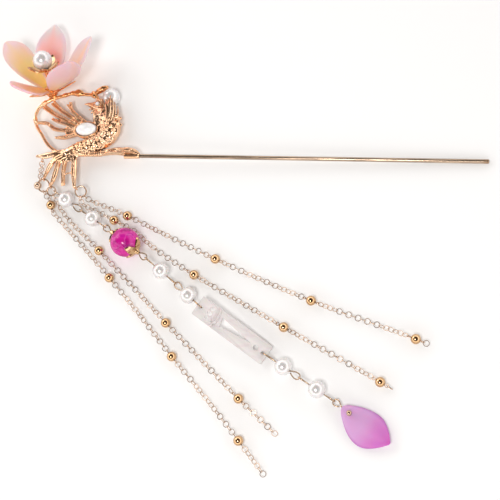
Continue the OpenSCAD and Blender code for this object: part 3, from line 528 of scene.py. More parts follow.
def leaf(outline, long, wide, thick, cup, bow, sway):
    """A leaf along +X: a grid bent to the outline, thickened, thin at its rim, and rounded."""
    piece = added(bpy.ops.mesh.primitive_grid_add, x_subdivisions=LEAF_ROWS,
                  y_subdivisions=LEAF_COLUMNS, size=2, calc_uvs=True)
    weights = piece.vertex_groups.new(name="thickness")
    for vertex in piece.data.vertices:
        across = vertex.co.y
        share = 1 - (1 - (vertex.co.x + 1) / 2) ** TIP_CROWDING
        half = smooth_row(outline, min(share, 1.0))
        arch = math.sin(math.pi * share)
        vertex.co = (share * long,
                     sway * arch + half * wide / 2 * across,
                     cup * across * across * half - bow * arch)
        weight = max(LEAF_LEAST,
                     min(1, half * LEAF_GROWTH) * (1 - LEAF_RIM_LOSS * across * across))
        weights.add([vertex.index], weight, "REPLACE")
    layer = piece.data.uv_layers.active.data
    for loop in piece.data.loops:
        layer[loop.index].uv = layer[loop.index].uv[1], layer[loop.index].uv[0]
    apply(piece, "SOLIDIFY", thickness=thick, offset=0, vertex_group="thickness",
          thickness_vertex_group=LEAF_UNWEIGHTED, use_even_offset=False)
    apply(piece, "SUBSURF", levels=1, render_levels=1)
    smooth(piece)
    return piece


# Rows: node, stops of colour from the root to the tip, colour of the rim, and a warm streak's
# place across, share and colour
PETAL_COLOURS = {
    "petal_right": (
        [(0.05, (0.97, 0.60, 0.38)), (0.4, (0.87, 0.60, 0.48)), (0.95, (0.78, 0.66, 0.71))],
        (0.77, 0.66, 0.72), (0.4, 0.6, (0.93, 0.58, 0.36))),
    "petal_top": (
        [(0.1, (1.0, 0.52, 0.30)), (0.45, (1.0, 0.47, 0.42)), (0.68, (0.92, 0.61, 0.60)),
         (0.95, (0.79, 0.75, 0.76))], (0.79, 0.72, 0.78), (0.5, 0.25, (1.0, 0.48, 0.42))),
    "petal_left": (
        [(0.05, (0.90, 0.64, 0.16)), (0.5, (0.86, 0.66, 0.29)), (0.75, (0.85, 0.64, 0.47)),
         (0.95, (0.83, 0.66, 0.67))], (0.83, 0.66, 0.66), (0.5, 0.3, (0.88, 0.66, 0.28))),
    "petal_lower": (
        [(0.05, (0.92, 0.47, 0.12)), (0.5, (0.88, 0.48, 0.30)), (0.95, (0.80, 0.55, 0.60))],
        (0.80, 0.57, 0.64), (0.5, 0.4, (0.90, 0.48, 0.23))),
    "petal_front": (
        [(0.05, (0.87, 0.55, 0.28)), (0.3, (0.79, 0.54, 0.44)), (0.6, (0.73, 0.51, 0.52)),
         (0.95, (0.73, 0.54, 0.58))], (0.73, 0.57, 0.62), (0.75, 0.3, (0.84, 0.54, 0.36)))}


class HAIRPIN_OT_petals(bpy.types.Operator):
    """Five cupped petals of frosted glass"""

    bl_idname = "hairpin.petals"
    bl_label = "Petals"

    def execute(self, context):
        size = context.scene.hairpin_flower
        for node, direction, opening, share, turn, sway in PETALS:
            opened = math.degrees(size.petal_open) + opening
            outline, slot = PETAL_OUTLINE, "petal_pink"
            if node == "petal_left":
                outline, slot = BLUNT_OUTLINE, "petal_yellow"
            piece = leaf(outline, size.petal_length * share, size.petal_width,
                         size.petal_thickness, PETAL_CUP, PETAL_BOW, sway * MM)
            lift = SEAT_T + PETAL_GAP + size.petal_thickness / 2 * math.sin(math.radians(opened))
            piece.data.transform(
                FLOWER @ turned(direction, "Z")
                @ Matrix.Translation((size.seat_width / 2 - PETAL_INSET, 0, lift))
                @ turned(opened - 90, "Y") @ turned(turn, "X"))
            glass = frosted_petal(node.replace("_", " ") + " glass", *PETAL_COLOURS[node])
            mount(piece, node + "_glass", glass, slot, node)
        return {"FINISHED"}


# The chains

RING_DIP = 16
RING_WIRE = 0.6 * MM
# Each jump ring: the eye that it hangs in, its heading in degrees and its outer diameter
LEFT_RING = (spot(-83, -22), -95, 5.4 * MM)
MIDDLE_RING = (spot(-76, -28.5), -80, 4 * MM)
RIGHT_RING = (spot(-53, -30), -24, 4.7 * MM)
# How far beside a bead the chain is lifted with it, and over what length it comes down
BEAD_RISE_LEVEL = 3 * MM
BEAD_RISE_RAMP = 8 * MM
# Wire of a bead's eye as a share of the links' wire
EYE_WIRE_SHARE = 1.2
EYE_GAP = 0.15 * MM
ROUTE_STEPS = 8
ROUTE_LOOK = 0.5 * MM
ROLL_FADE = 6 * MM
ROLL_WAVES = (7.3 * MM, 3.1 * MM)


def ring_point(eye, heading, outer, angle):
    """A point of a jump ring's wire, at an angle from the ring's heading."""
    mean = outer / 2 - RING_WIRE / 2
    turn = math.radians(angle)
    local = Vector((mean + mean * math.cos(turn), mean * math.sin(turn), 0))
    return (LAID @ Matrix.Translation(eye) @ turned(heading, "Z") @ turned(RING_DIP, "Y")) @ local


LAYOUT_AT = LAID @ MIDDLE_RING[0]
# Rows: name, start, links before the first bead, beads, links after the last, and the way
# over the surface in mm from the middle ring's eye
CHAINS = [
    ("chain_a", ring_point(*RIGHT_RING, -25), 10, 4, 1,
     [(15.8, -4.5), (23.8, -7.3), (31.8, -10.3), (65.8, -24.8), (101.8, -38.3), (137.3, -49.3),
      (163.8, -59.3)]),
    ("chain_b", ring_point(*RIGHT_RING, -70), 9, 4, 1,
     [(12.8, -6.1), (19.8, -9), (24.8, -11.3), (34.3, -15.7), (41.8, -21.3), (58.3, -30.8),
      (92.3, -47.8), (127.3, -64.8), (153.8, -79.3)]),
    ("chain_c", ring_point(*MIDDLE_RING, 16), 16, 3, 9,
     [(2.4, -5.3), (3.8, -8.1), (7.8, -12.3), (12.8, -16.5), (21.3, -23.5), (50.3, -49.3),
      (78.3, -73.3), (113.8, -101.3)]),
    ("chain_d", ring_point(*LEFT_RING, 12), 2, 4, 7,
     [(-0.9, -5.3), (0.8, -8.8), (3.6, -12), (26.8, -33.8), (53.3, -60.8), (79.8, -87.8),
      (105.8, -117.3)])]


class Route:
    """A chain's way over the surface, and where its links and beads lie on it."""

    def __init__(self, size, start, before, beads, after, route):
        self.size = size
        rest = FLOOR_Z + size.link_width / 2
        points = [start] + [Vector((LAYOUT_AT.x + x * MM, LAYOUT_AT.y + y * MM, rest)) for x, y in route]
        line = [curve_point(points, i, k / ROUTE_STEPS)
                for i in range(len(points) - 1) for k in range(ROUTE_STEPS)]
        self.line = [Vector((point.x, point.y, max(point.z, rest))) for point in line + [points[-1]]]
        self.run = [0.0]
        for point, following in zip(self.line, self.line[1:]):
            self.run.append(self.run[-1] + (following - point).length)
        self.link_r = (size.link_width - size.link_wire) / 2
        self.eye_wire = size.link_wire * EYE_WIRE_SHARE
        self.eye_r = (size.eye_width - self.eye_wire) / 2
        self.eye_at = size.bead_width / 2 + self.eye_r + EYE_GAP
        pitch = 2 * self.link_r - size.link_wire - size.link_gap
        hang = self.link_r - size.link_wire / 2 - RING_WIRE / 2 - size.link_gap
        to_link = (self.eye_at + self.eye_r - size.link_wire / 2 - self.eye_wire / 2
                   - size.link_gap + self.link_r)
        count = size.links_between
        step = 2 * to_link + (count - 1) * pitch
        self.beads = [hang + (before - 1) * pitch + to_link + i * step for i in range(beads)]
        self.links = [hang + k * pitch for k in range(before)]
        self.links += [bead + to_link + k * pitch for bead in self.beads[:-1] for k in range(count)]
        self.links += [self.beads[-1] + to_link + k * pitch for k in range(after)]
        self.firsts = [before + i * count for i in range(beads)]

    def at(self, along):
        """The chain's middle at a length along it, lifted near the beads, which are thicker."""
        i = max(k for k in range(len(self.run) - 1) if self.run[k] <= along)
        share = (along - self.run[i]) / (self.run[i + 1] - self.run[i])
        near = max([0.0] + [
            1 - (abs(along - bead) - BEAD_RISE_LEVEL) / BEAD_RISE_RAMP for bead in self.beads])
        rise = (self.size.bead_width - self.size.link_width) / 2 * min(1.0, near)
        return self.line[i].lerp(self.line[i + 1], share) + Vector((0, 0, rise))

    def ride(self, along, roll):
        """The matrix that puts a thing at a length along the chain, with +X along it."""
        behind = along - ROUTE_LOOK if along > ROUTE_LOOK else 0.0
        way = (self.at(along + ROUTE_LOOK) - self.at(behind)).normalized()
        return (Matrix.Translation(self.at(along)) @ Matrix.Rotation(math.atan2(way.y, way.x), 4, "Z")
                @ Matrix.Rotation(-math.asin(way.z), 4, "Y") @ Matrix.Rotation(roll, 4, "X"))

    def sway(self, along):
        """The slow roll of the chain to and fro, which fades out at its ring."""
        fade = min(1.0, along / ROLL_FADE)
        long, short = ROLL_WAVES
        return fade * self.size.roll * (math.sin(along / long) + 0.5 * math.sin(along / short + 1))

    def place(self, along, upright):
        return self.ride(along, (math.pi / 2 if upright else 0) + self.sway(along))

    def link_places(self):
        """Links by turns upright and flat, with each bead's wire counted as one of them."""
        for k, along in enumerate(self.links):
            beads_before = sum(k >= first for first in self.firsts)
            yield self.place(along, (k + beads_before) % 2 == 0)

    def bead_places(self):
        for i, along in enumerate(self.beads):
            yield self.place(along, (self.firsts[i] + i) % 2 == 0)


def torus(mean, wire, around=16, section=6):
    return added(bpy.ops.mesh.primitive_torus_add, major_radius=mean, minor_radius=wire / 2,
                 major_segments=around, minor_segments=section)


def bead_wire(route):
    """The wire through a bead with an eye at each end."""
    eyes = []
    for side in (-1, 1):
        eye = torus(route.eye_r, route.eye_wire)
        eye.data.transform(Matrix.Translation((side * route.eye_at, 0, 0)))
        eyes.append(eye)
    wire = added(bpy.ops.mesh.primitive_cylinder_add, vertices=8, radius=route.eye_wire / 2,
                 depth=2 * (route.eye_at - route.eye_r), rotation=(0, math.pi / 2, 0))
    bpy.ops.object.transform_apply(location=True, rotation=True, scale=True)
    return joined([wire] + eyes)


class HAIRPIN_OT_chains(bpy.types.Operator):
    """Four chains of round links, with a wire through each gold bead"""

    bl_idname = "hairpin.chains"
    bl_label = "Chains"

    def execute(self, context):
        size = context.scene.hairpin_chains
        metal = plated("chain rose gold", context.scene.hairpin_metals.chain, (0.48, 0.33, 0.23), 0.12)
        for name, *row in CHAINS:
            route = Route(size, *row)
            links = curved_copies(torus(route.link_r, size.link_wire), route.link_places())
            wires = curved_copies(bead_wire(route), route.bead_places())
            piece = joined([links, wires])
            smooth(piece, degrees=60)
            mount(piece, name + "_links", metal, "chain_gold", name)
        return {"FINISHED"}


# The casting and the other metal

FEATHER_T = 1.3 * MM
RIDGE_LEVEL = FEATHER_T / MM * 0.42
RIDGE_RADII = (0.3, 0.2)
PLATE_LINE_LEVEL = 0.42
PLATE_LINE_RADII = (0.22, 0.14)
# Rows: x, y and half width of the bird's body from its tail to its crown, in hundredths
BODY_ROWS = [Vector(row) for row in (
    (-69, 0, 2.5), (-60, 4, 5), (-50, 7, 6.5), (-39, 10.5, 7.5), (-30.5, 17, 8.5), (-29, 25.5, 9.5),
    (-33.5, 34, 8.5), (-38, 41, 6.5))]
# Where the granules stop: at ovals round the wing's dome and the head, each with its middle, half
# sizes and fade, and at the crest's plumes, with the x, the y and the height in mm they begin at
DOME = ((-49.5, 22), (11.5, 8.5), (1, 1.12))
HEAD = ((-41, 45.5), (7.5, 6.5), (1, 1.2))
CREST = ((-36, -34), (27, 30), (1.6, 2.2))
# The x and the y between which the body lies
BODY_LIMITS = ((-74, -16), (-8, 52))
# The fade at the body's edge, in half widths from its middle line, turned round
BODY_EDGE = (-1.12, -0.97)
CREST_SLAB = (spot(-37.5, 33, 2.3), spot(-18, 60, 7))
# Rows: half width at the root and at the tip in mm, then the way in hundredths of the width
WING_RIDGES = [
    (0.5, 0.4, [(-50, 27.5), (-59, 34), (-66, 40), (-68, 47.5)]),
    (0.25, 0.15, [(-55, 29), (-64, 37.5), (-71, 45)]),
    (0.45, 0.6, [(-54, 26.5), (-66, 34), (-76, 40), (-84.5, 47)]),
    (0.5, 0.55, [(-57, 25), (-70, 31), (-80, 35.5), (-92, 43)]),
    (0.35, 0.3, [(-59, 22.5), (-70, 27.5), (-78, 30), (-83, 32)]),
    (0.45, 0.3, [(-59, 20.5), (-70, 21.5), (-80, 23), (-87, 28), (-97, 28.5)]),
    (0.4, 0.25, [(-58, 18), (-69, 15.5), (-78, 15)])]
TAIL_RIDGES = [
    (0.3, 0.2, [(-64, 1.5), (-74, 1.5), (-84, -1), (-92.5, -2)]),
    (0.45, 0.3, [(-64, 0), (-73, -3.5), (-79.5, -10), (-82.6, -20)]),
    (0.5, 0.35, [(-62, -1), (-70, -5), (-73, -12), (-75.5, -26)]),
    (0.4, 0.35, [(-62, -1), (-65.5, -6), (-66.5, -16), (-65, -26)]),
    (0.45, 0.35, [(-60, 0), (-58.5, -5), (-57.5, -12), (-56, -22), (-54, -28)])]
# Thin lines over the plates between the feathers
PLATE_LINES = [
    [(-57, 27.5), (-63, 33)], [(-58, 25.5), (-66, 31)], [(-59, 23.5), (-68, 27.2)],
    [(-59.5, 19.5), (-68, 18.8)], [(-59, 24.5), (-67, 29.3)], [(-59.5, 21.7), (-69, 24.3)],
    [(-60, 2), (-69, 2.6), (-76, 2.6)], [(-59, 0.5), (-67, -2), (-72.5, -6)],
    [(-59, -1), (-65, -3), (-69.5, -8)], [(-58, -1.5), (-61.5, -3.5), (-63, -7)],
    [(-58, 1.5), (-66, 0.6), (-75, 0.2)]]
# Rows of the next four: radii in mm, then x and y in hundredths and height in mm
CREST_PLUMES = [
    ([0.25, 0.45, 0.55, 0.4], [(-29, 50.5, 3.95), (-29, 44, 3.7), (-28.7, 37, 3.1), (-30, 29, 2.5)]),
    ([0.22, 0.4, 0.45, 0.35], [(-27.3, 48.5, 3.4), (-26.6, 42.5, 3.2), (-26.3, 36, 2.8), (-28, 28, 2.3)]),
    ([0.2, 0.38, 0.42, 0.3], [(-26, 46, 2.4), (-24.8, 40, 2.4), (-24.6, 33.5, 2.2), (-25.8, 27, 1.7)]),
    ([0.3, 0.6, 0.7, 0.5], [(-32.9, 47.5, 3.3), (-32, 42.5, 3.3), (-30.8, 36.5, 3.0), (-31, 30, 2.6)]),
    ([0.2, 0.3, 0.3, 0.2], [(-31, 49, 3.9), (-30.4, 43.5, 3.7), (-29.8, 37, 3.2), (-30.5, 31, 2.7)]),
    ([0.15, 0.3, 0.3, 0.2], [(-24.4, 44, 0.6), (-23.2, 38, 0.8), (-23.2, 32, 0.8), (-24.5, 26, 0.8)])]
HEAD_RODS = [
    ([0.2, 0.8, 1.5], [(-54.5, 45.3, 0.6), (-50, 44.6, 0.8), (-44.5, 43.2, 0.8)]),
    ([0.3, 0.9, 1.2], [(-46.5, 41, 0.9), (-44.5, 41.8, 1.0), (-42, 43, 1.0)]),
    ([1.0, 1.75, 1.8, 1.3], [(-42, 41.5, 0.3), (-42.2, 36, 0.3), (-41.2, 31, 0.3), (-38, 25.5, 0.4)]),
    ([0.12, 0.28, 0.4, 0.2], [(-44.6, 47.2, 2.2), (-42, 47.6, 2.6), (-38.5, 46.4, 2.9), (-36.5, 43, 2.8)]),
    ([0.15, 0.3, 0.3, 0.15], [(-44.5, 42.3, 2.0), (-41.5, 41.6, 2.5), (-38.2, 42, 2.8), (-37, 44, 2.8)])]
BRANCH_KNOTS = [
    ([0.75, 1.25, 1.15, 0.75], [(-66.5, 55, 0.2), (-63.5, 55.4, 0.3), (-60, 55.2, 0.3), (-56.5, 54.4, 0.1)]),
    ([0.4, 0.9, 0.8], [(-65, 56.5, 0.5), (-61.5, 57, 0.6), (-58.5, 56, 0.4)]),
    ([0.7, 1.05, 0.8], [(-50, 54, 0.1), (-47.5, 53.4, 0.3), (-45.2, 51.8, 0.2)]),
    ([0.7, 1.2, 1.3, 0.7], [(-46, 55.6, 0.2), (-43, 57.6, 0.3), (-39.2, 59.6, 0.3), (-36, 61.2, 0.2)]),
    ([0.7, 1.0, 0.7], [(-76, 53, 0), (-73.5, 53.8, 0.2), (-71, 54.4, 0)]),
    ([0.7, 0.95, 0.7], [(-93, 46, 0), (-91.5, 47, 0.2), (-89.5, 48, 0)]),
    ([0.6, 0.85, 0.6], [(-99.2, 33, 0), (-99, 31, 0.1), (-98.5, 29, 0)])]
PERCH_RODS = [
    ([0.25, 0.45, 0.5, 0.4, 0.5, 0.6, 0.5, 0.3], [
        (-31, 1.6, 0.8), (-27.6, 3.6, 0.8), (-23.4, 4.9, 0.8), (-17.9, 4.1, 0.9), (-13.7, 5.6, 0.9),
        (-8.4, 5.4, 0.9), (-3.8, 4.2, 0.8), (0.1, 1.4, 0.6)]),
    ([0.3, 0.6, 0.7, 0.7, 0.5], [
        (-24, 2.5, 0.9), (-16.7, 2.6, 1.0), (-9.8, 3.4, 1.0), (-4.4, 2.6, 0.9), (0.2, 0.8, 0.7)]),
    ([0.25, 0.35, 0.35, 0.3, 0.2], [
        (-30.8, 0.6, 1.2), (-23.8, 1.9, 1.5), (-16.7, 1.6, 1.6), (-9.8, 2.6, 1.7), (-3, 1.4, 1.4)]),
    ([0.2, 0.3, 0.3, 0.2], [(-20, 3.4, 1.6), (-13, 4.4, 1.7), (-7, 4.4, 1.7), (-2, 2.6, 1.3)])]
# The ribs across the perch: where each begins, then its way from there and its radii in mm
PERCH_RIBS = [-57 + 1.9 * k for k in range(13)]
RIB_WAY = [(0, 2.6, 0.9), (0.4, 0.4, 1.25), (0.8, -1.9, 0.5)]
RIB_RADII = [0.2, 0.26, 0.2]
GRANULE = 0.75 * MM
# Where a granule's side ends, as a share of their distance
GRANULE_REACH = 0.55
GRANULE_RISE = 0.12 * MM
BARB_PITCH = 1.25 * MM
BARB_DEPTH = 0.2 * MM
BARB_SLANT = (0.92, 0.38)
# Where the granules give way to barbs: x, and y turned round
BARBED = ((-42, -39), (-21, -17))


def rod(points, radii):
    """A round rod along a smooth curve through the points, with a radius in mm at each."""
    curve = added(bpy.ops.curve.primitive_bezier_curve_add)
    knots = curve.data.splines[0].bezier_points
    knots.add(len(points) - 2)
    for knot, point, radius in zip(knots, points, radii):
        knot.co = point
        knot.radius = radius
        knot.handle_left_type = knot.handle_right_type = "AUTO"
    curve.data.dimensions = "3D"
    curve.data.bevel_depth = MM
    curve.data.bevel_resolution = 1
    curve.data.resolution_u = 5
    curve.data.use_fill_caps = True
    bpy.ops.object.convert(target="MESH")
    return bpy.context.object


def evenly(first, last, count):
    return [first + (last - first) * k / (count - 1) for k in range(count)]


def ridge_pair(root, tip, way):
    """Two ridges along a feather, one on each side of its middle line."""
    points = [spot(*point, RIDGE_LEVEL) for point in way]
    sides = evenly(root, tip, len(points))
    rods = []
    for side in (-1, 1):
        moved = []
        for i, point in enumerate(points):
            ahead = (points[min(i + 1, len(points) - 1)] - points[max(i - 1, 0)]).normalized()
            moved.append(point + Vector((-ahead.y, ahead.x, 0)) * side * sides[i] * MM)
        rods.append(rod(moved, evenly(*RIDGE_RADII, len(points))))
    return rods


def relief_rods():
    """The lines, plumes, knots and ribs that stand on the casting."""
    rods = []
    for root, tip, way in WING_RIDGES + TAIL_RIDGES:
        rods += ridge_pair(root, tip, way)
    for way in PLATE_LINES:
        rods.append(rod([spot(*point, PLATE_LINE_LEVEL) for point in way],
                        evenly(*PLATE_LINE_RADII, len(way))))
    for radii, way in CREST_PLUMES + HEAD_RODS + BRANCH_KNOTS + PERCH_RODS:
        rods.append(rod([spot(*point) for point in way], radii))
    for start in PERCH_RIBS:
        rods.append(rod([spot(start + x, y, z) for x, y, z in RIB_WAY], RIB_RADII))
    return rods


def cut_box(piece, low, high):
    """Takes a box of the casting's own frame out of the piece."""
    box = added(bpy.ops.mesh.primitive_cube_add, size=1)
    box.data.transform(LAID @ Matrix.Translation((low + high) / 2)
                       @ Matrix.Diagonal((*(high - low), 1)))
    carve(piece, box)


def between(value, low, high):
    return min(1, max(0, (value - low) / (high - low)))


def clear_of(x, y, middle, half_sizes, fade):
    """0 on an oval and 1 away from it, with a fade between."""
    round_it = math.hypot((x - middle[0]) / half_sizes[0], (y - middle[1]) / half_sizes[1])
    return between(round_it, *fade)


def body_share(x, y, z, line):
    """How surely a place on the casting lies on the bird's feathered body, from 0 to 1."""
    (left, right), (lowest, highest) = BODY_LIMITS
    if not (left < x < right and lowest < y < highest):
        return 0
    near = min(math.hypot(x - row.x, y - row.y) / row.z for row in line)
    plumes = 1 - between(z, *CREST[2]) * between(x, *CREST[0]) * between(y, *CREST[1])
    return between(-near, *BODY_EDGE) * clear_of(x, y, *DOME) * clear_of(x, y, *HEAD) * plumes


def engrave(piece):
    """Granules over the bird's body, and slanting barbs on its lower side."""
    back = LAID.inverted()
    line = [curve_point(BODY_ROWS, i, k / 4) for i in range(len(BODY_ROWS) - 1) for k in range(4)]
    group = piece.vertex_groups.new(name="body")
    shares = []
    for vertex in piece.data.vertices:
        point = back @ vertex.co
        share = body_share(point.x / CASTING_W * 100, point.y / CASTING_W * 100, point.z / MM, line)
        shares.append(share)
        if share > 0:
            group.add([vertex.index], share, "REPLACE")
    apply(piece, "SMOOTH", factor=0.5, iterations=7, vertex_group="body")
    normals = [vertex.normal.copy() for vertex in piece.data.vertices]
    for vertex, normal, share in zip(piece.data.vertices, normals, shares):
        if share > 0:
            point = back @ vertex.co
            x, y = point.x / CASTING_W * 100, point.y / CASTING_W * 100
            away = voronoi(point / GRANULE)[0][0] / GRANULE_REACH
            granule = GRANULE_RISE * (1 - min(1, away) ** 2)
            barbed = between(x, *BARBED[0]) * between(-y, *BARBED[1])
            slant = point.x * BARB_SLANT[0] + point.y * BARB_SLANT[1]
            barb = BARB_DEPTH * (abs(math.sin(math.pi * slant / BARB_PITCH)) - 0.5)
            vertex.co += normal * share * (granule * (1 - barbed) + barb * barbed)


class HAIRPIN_OT_casting(bpy.types.Operator):
    """The phoenix, its branch ring, perch, tail and calyx: one soldered casting"""

    bl_idname = "hairpin.casting"
    bl_label = "Casting"

    def execute(self, context):
        metals = context.scene.hairpin_metals
        piece = merged_copy("phoenix", "phoenix_casting")
        cut_box(piece, *CREST_SLAB)
        rods = joined(relief_rods())
        rods.data.transform(LAID)
        piece = joined([piece, rods])
        apply(piece, "REMESH", mode="VOXEL", voxel_size=metals.cast_voxel, adaptivity=0)
        apply(piece, "SMOOTH", factor=0.5, iterations=2)
        engrave(piece)
        smooth(piece)
        mount(piece, "phoenix_casting", cast_gold(metals.casting), "rose_gold", "phoenix")
        return {"FINISHED"}


class HAIRPIN_OT_metal(bpy.types.Operator):
    """The pin, the rings, the short tail chain, the caps, the cup, the beads and the wires"""

    bl_idname = "hairpin.metal"
    bl_label = "Pin, rings, caps and wires"

    def execute(self, context):
        metals = context.scene.hairpin_metals
        coat(NODES["pin"], drawn_gold(metals.pin))
        bright = plated("bright gold", metals.bright, (0.56, 0.34, 0.17), 0.03, 2.0)
        ring = plated("ring rose gold", metals.chain, (0.46, 0.28, 0.18), 0.12)
        wire = plated("wire gold", metals.pin, (0.50, 0.33, 0.21), 0.12)
        for node, thing in NODES.items():
            if node.startswith("bead_") or node in ("flower_cup", "upper_cap", "lower_cap"):
                coat(thing, bright)
            elif node in ("left_ring", "middle_ring", "right_ring", "tail_chain"):
                coat(thing, ring)
            elif node.startswith("eye_pin") or node == "drop_wire":
                piece = merged_copy(node, node + "_wire")
                smooth(piece, degrees=70)
                mount(piece, node + "_wire", wire, "pin_gold", node)
        return {"FINISHED"}


# Pearls, stones, shell and glass


class HAIRPIN_OT_pearls(bpy.types.Operator):
    """The strand's pearls, the flower's and the crest's pearl, the wing's dome and the eye"""

    bl_idname = "hairpin.pearls"
    bl_label = "Pearls"

    def execute(self, context):
        pearl = nacre("pearl nacre", (0.80, 0.77, 0.76), 0.35)
        white = nacre("white dome", (0.93, 0.93, 0.93), 0.0)
        for node, thing in NODES.items():
            if node.startswith("pearl_") or node in ("flower_pearl", "crest_pearl"):
                coat(thing, pearl)
        coat(NODES["eye_stone"], white)
        piece = merged_copy("wing_pearl", "wing_dome")
        apply(piece, "SUBSURF", levels=2, render_levels=2)
        smooth(piece)
        mount(piece, "wing_dome", white, "white_stone", "wing_pearl")
        return {"FINISHED"}


PLAQUE_HEADING = -32.3
PLAQUE_SPAN = 27.0 * MM
PLAQUE_BEVEL = 0.12 * MM
PLAQUE_ARCS = (6.5 * MM, 7.5 * MM)
ARC_WIRE = 0.36 * MM


def engraved_arcs(piece):
    """Two rings round the first wire hole, half sunk in the upper face, to cut the plaque with."""
    low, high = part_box("plaque")
    face = max((face for face in piece.data.polygons if face.normal.z > 0.9), key=lambda face: face.area)
    up = face.normal.copy()
    along = turned(PLAQUE_HEADING, "Z") @ Vector((1, 0, 0))
    along = (along - up * along.dot(up)).normalized()
    hole = (low + high) / 2 - along * PLAQUE_SPAN / 2
    hole += up * (face.center - hole).dot(up)
    frame_at = Matrix((along, up.cross(along), up)).transposed().to_4x4()
    rings = joined([torus(radius, ARC_WIRE, around=96, section=8) for radius in PLAQUE_ARCS])
    rings.data.transform(Matrix.Translation(hole) @ frame_at)
    return rings


class HAIRPIN_OT_stones(bpy.types.Operator):
    """The large magenta bead and the carved shell plaque"""

    bl_idname = "hairpin.stones"
    bl_label = "Bead and plaque"

    def execute(self, context):
        coat(NODES["large_bead"], magenta_agate())
        piece = merged_copy("plaque", "shell_plaque")
        apply(piece, "BEVEL", width=PLAQUE_BEVEL, segments=2, limit_method="ANGLE",
              angle_limit=math.radians(50))
        carve(piece, engraved_arcs(piece))
        smooth(piece, degrees=50)
        mount(piece, "shell_plaque", carved_shell(), "shell", "plaque")
        return {"FINISHED"}


# Rows: share of the length, share of the half width
DROP_OUTLINE = [
    (0, 0.06), (0.05, 0.28), (0.12, 0.44), (0.24, 0.7), (0.38, 0.9), (0.54, 1), (0.68, 0.93),
    (0.8, 0.7), (0.91, 0.38), (1, 0.04)]
DROP_CUP = 1.9 * MM
DROP_LIFT = 0.35 * MM
DROP_SWAY = 1.0 * MM
DROP_INSET = 3.3 * MM
DROP_TURN = -33
DROP_HOLE = 1.3 * MM
DRILL_L = 8 * MM


class HAIRPIN_OT_drop(bpy.types.Operator):
    """The petal drop of lilac glass at the strand's end"""

    bl_idname = "hairpin.drop"
    bl_label = "Petal drop"

    def execute(self, context):
        size = context.scene.hairpin_drop
        low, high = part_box("drop")
        piece = leaf(DROP_OUTLINE, size.length, size.width, size.thickness, DROP_CUP, DROP_LIFT,
                     DROP_SWAY)
        piece.data.transform(turned(DROP_TURN, "Z") @ Matrix.Translation((-DROP_INSET, 0, 0))
                             @ turned(180, "X"))
        sides = [[vertex.co[axis] for vertex in piece.data.vertices] for axis in range(3)]
        move = (low + high) / 2 - Vector([(max(side) + min(side)) / 2 for side in sides])
        move.z = FLOOR_Z + DROP_CUP + DROP_LIFT
        piece.data.transform(Matrix.Translation(move))
        carve(piece, added(bpy.ops.mesh.primitive_cylinder_add, vertices=24, radius=DROP_HOLE / 2,
                           depth=DRILL_L, location=move))
        smooth(piece, degrees=45)
        mount(piece, "drop_glass", lilac_glass(), "lilac_glass", "drop")
        return {"FINISHED"}


# The stage

# The camera's place and its own axes, from which it sees the piece as the photo does
CAMERA_AT = (0.126418, -0.094811, 0.322217)
CAMERA_RIGHT = (0.96993, 0.07856, -0.23035)
CAMERA_UP = (-0.03352, 0.98057, 0.19329)
CAMERA_BACK = (0.24106, -0.17976, 0.95372)
SENSOR_MM = 36
CLIP_START = 10 * MM
LAMP_COLOUR = (1.0, 0.99, 0.98)
# Rows: name, place, aim, size, power
LAMPS = [
    ("window", (0.03, -0.22, 0.58), (0.02, -0.02, 0), 0.17, 1.45),
    ("fill", (-0.45, 0.3, 0.42), (0.0, 0.0, 0), 0.3, 0.8)]
# Rows: height in the sky, from 0 at the level of the floor to 1 overhead, and colour
SKY = [(0.0, (0.5, 0.5, 0.5)), (0.08, (1.0, 1.0, 1.0)), (0.18, (2.0, 2.0, 2.0)),
       (0.44, (2.15, 2.15, 2.15)), (0.62, (0.24, 0.2, 0.18)), (0.8, (0.1, 0.08, 0.07)),
       (1.0, (0.08, 0.06, 0.05))]


def studio_sky():
    """A soft light tent: bright all round, with a darker patch overhead."""
    world = bpy.data.worlds.new("studio")
    world.use_nodes = True
    nodes, links = world.node_tree.nodes, world.node_tree.links
    sky = nodes["Background"]
    way = nodes.new("ShaderNodeTexCoord")
    parts = nodes.new("ShaderNodeSeparateXYZ")
    ramp = nodes.new("ShaderNodeValToRGB")
    set_stops(ramp.color_ramp, SKY)
    links.new(way.outputs["Generated"], parts.inputs[0])
    links.new(parts.outputs["Z"], ramp.inputs["Fac"])
    links.new(ramp.outputs["Color"], sky.inputs["Color"])
    return world


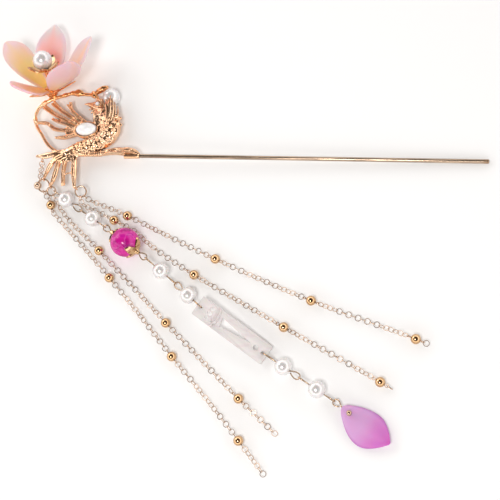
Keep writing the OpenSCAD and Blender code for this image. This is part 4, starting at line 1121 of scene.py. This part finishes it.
class HAIRPIN_OT_stage(bpy.types.Operator):
    """A pale floor, soft lamps and the camera"""

    bl_idname = "hairpin.stage"
    bl_label = "Stage"

    def execute(self, context):
        settings = context.scene.hairpin_stage
        floor = added(bpy.ops.mesh.primitive_plane_add, size=settings.floor_size,
                      location=(0, 0, FLOOR_Z))
        floor.name = "floor"
        paper = Finish("pale floor", Roughness=0.9, Specular_IOR_Level=0.2)
        grain = paper.noise(0.02, 2)
        coat(floor, paper.give(
            Base_Color=paper.mix(grain * 0.2, settings.floor_colour, dimmed(settings.floor_colour, 0.98))))
        for name, place, aim, size, power in LAMPS:
            lamp = added(bpy.ops.object.light_add, type="AREA", location=place)
            lamp.name = name
            lamp.data.size = size
            lamp.data.energy = power
            lamp.data.color = LAMP_COLOUR
            lamp.rotation_euler = (Vector(aim) - Vector(place)).to_track_quat("-Z", "Y").to_euler()
        context.scene.world = studio_sky()
        camera = added(bpy.ops.object.camera_add)
        camera.name = "camera"
        axes = Matrix((CAMERA_RIGHT, CAMERA_UP, CAMERA_BACK)).transposed().to_4x4()
        camera.matrix_world = Matrix.Translation(CAMERA_AT) @ axes
        camera.data.lens = settings.lens
        camera.data.sensor_width = SENSOR_MM
        camera.data.clip_start = CLIP_START
        context.scene.camera = camera
        context.scene.view_settings.view_transform = "Standard"
        return {"FINISHED"}


class HAIRPIN_PT_panel(bpy.types.Panel):
    """The steps that dress the hairpin"""

    bl_label = "Hairpin"
    bl_idname = "HAIRPIN_PT_panel"
    bl_space_type = "VIEW_3D"
    bl_region_type = "UI"
    bl_category = "Hairpin"

    def draw(self, context):
        for step in STEPS:
            self.layout.operator(step.bl_idname)


GROUPS = {
    "hairpin_metals": HairpinMetals,
    "hairpin_flower": HairpinFlower,
    "hairpin_drop": HairpinDrop,
    "hairpin_chains": HairpinChains,
    "hairpin_stage": HairpinStage}
STEPS = [
    HAIRPIN_OT_stage, HAIRPIN_OT_casting, HAIRPIN_OT_metal, HAIRPIN_OT_petals, HAIRPIN_OT_pearls,
    HAIRPIN_OT_stones, HAIRPIN_OT_drop, HAIRPIN_OT_chains]


def register():
    for kind in [*GROUPS.values(), *STEPS, HAIRPIN_PT_panel]:
        bpy.utils.register_class(kind)
    for name, group in GROUPS.items():
        setattr(bpy.types.Scene, name, PointerProperty(type=group))


def unregister():
    for name in GROUPS:
        delattr(bpy.types.Scene, name)
    for kind in reversed([*GROUPS.values(), *STEPS, HAIRPIN_PT_panel]):
        bpy.utils.unregister_class(kind)


def main():
    register()
    bpy.ops.hairpin.stage()
    bpy.ops.hairpin.casting()
    bpy.ops.hairpin.metal()
    bpy.ops.hairpin.petals()
    bpy.ops.hairpin.pearls()
    bpy.ops.hairpin.stones()
    bpy.ops.hairpin.drop()
    bpy.ops.hairpin.chains()


if __name__ == "__main__":
    main()
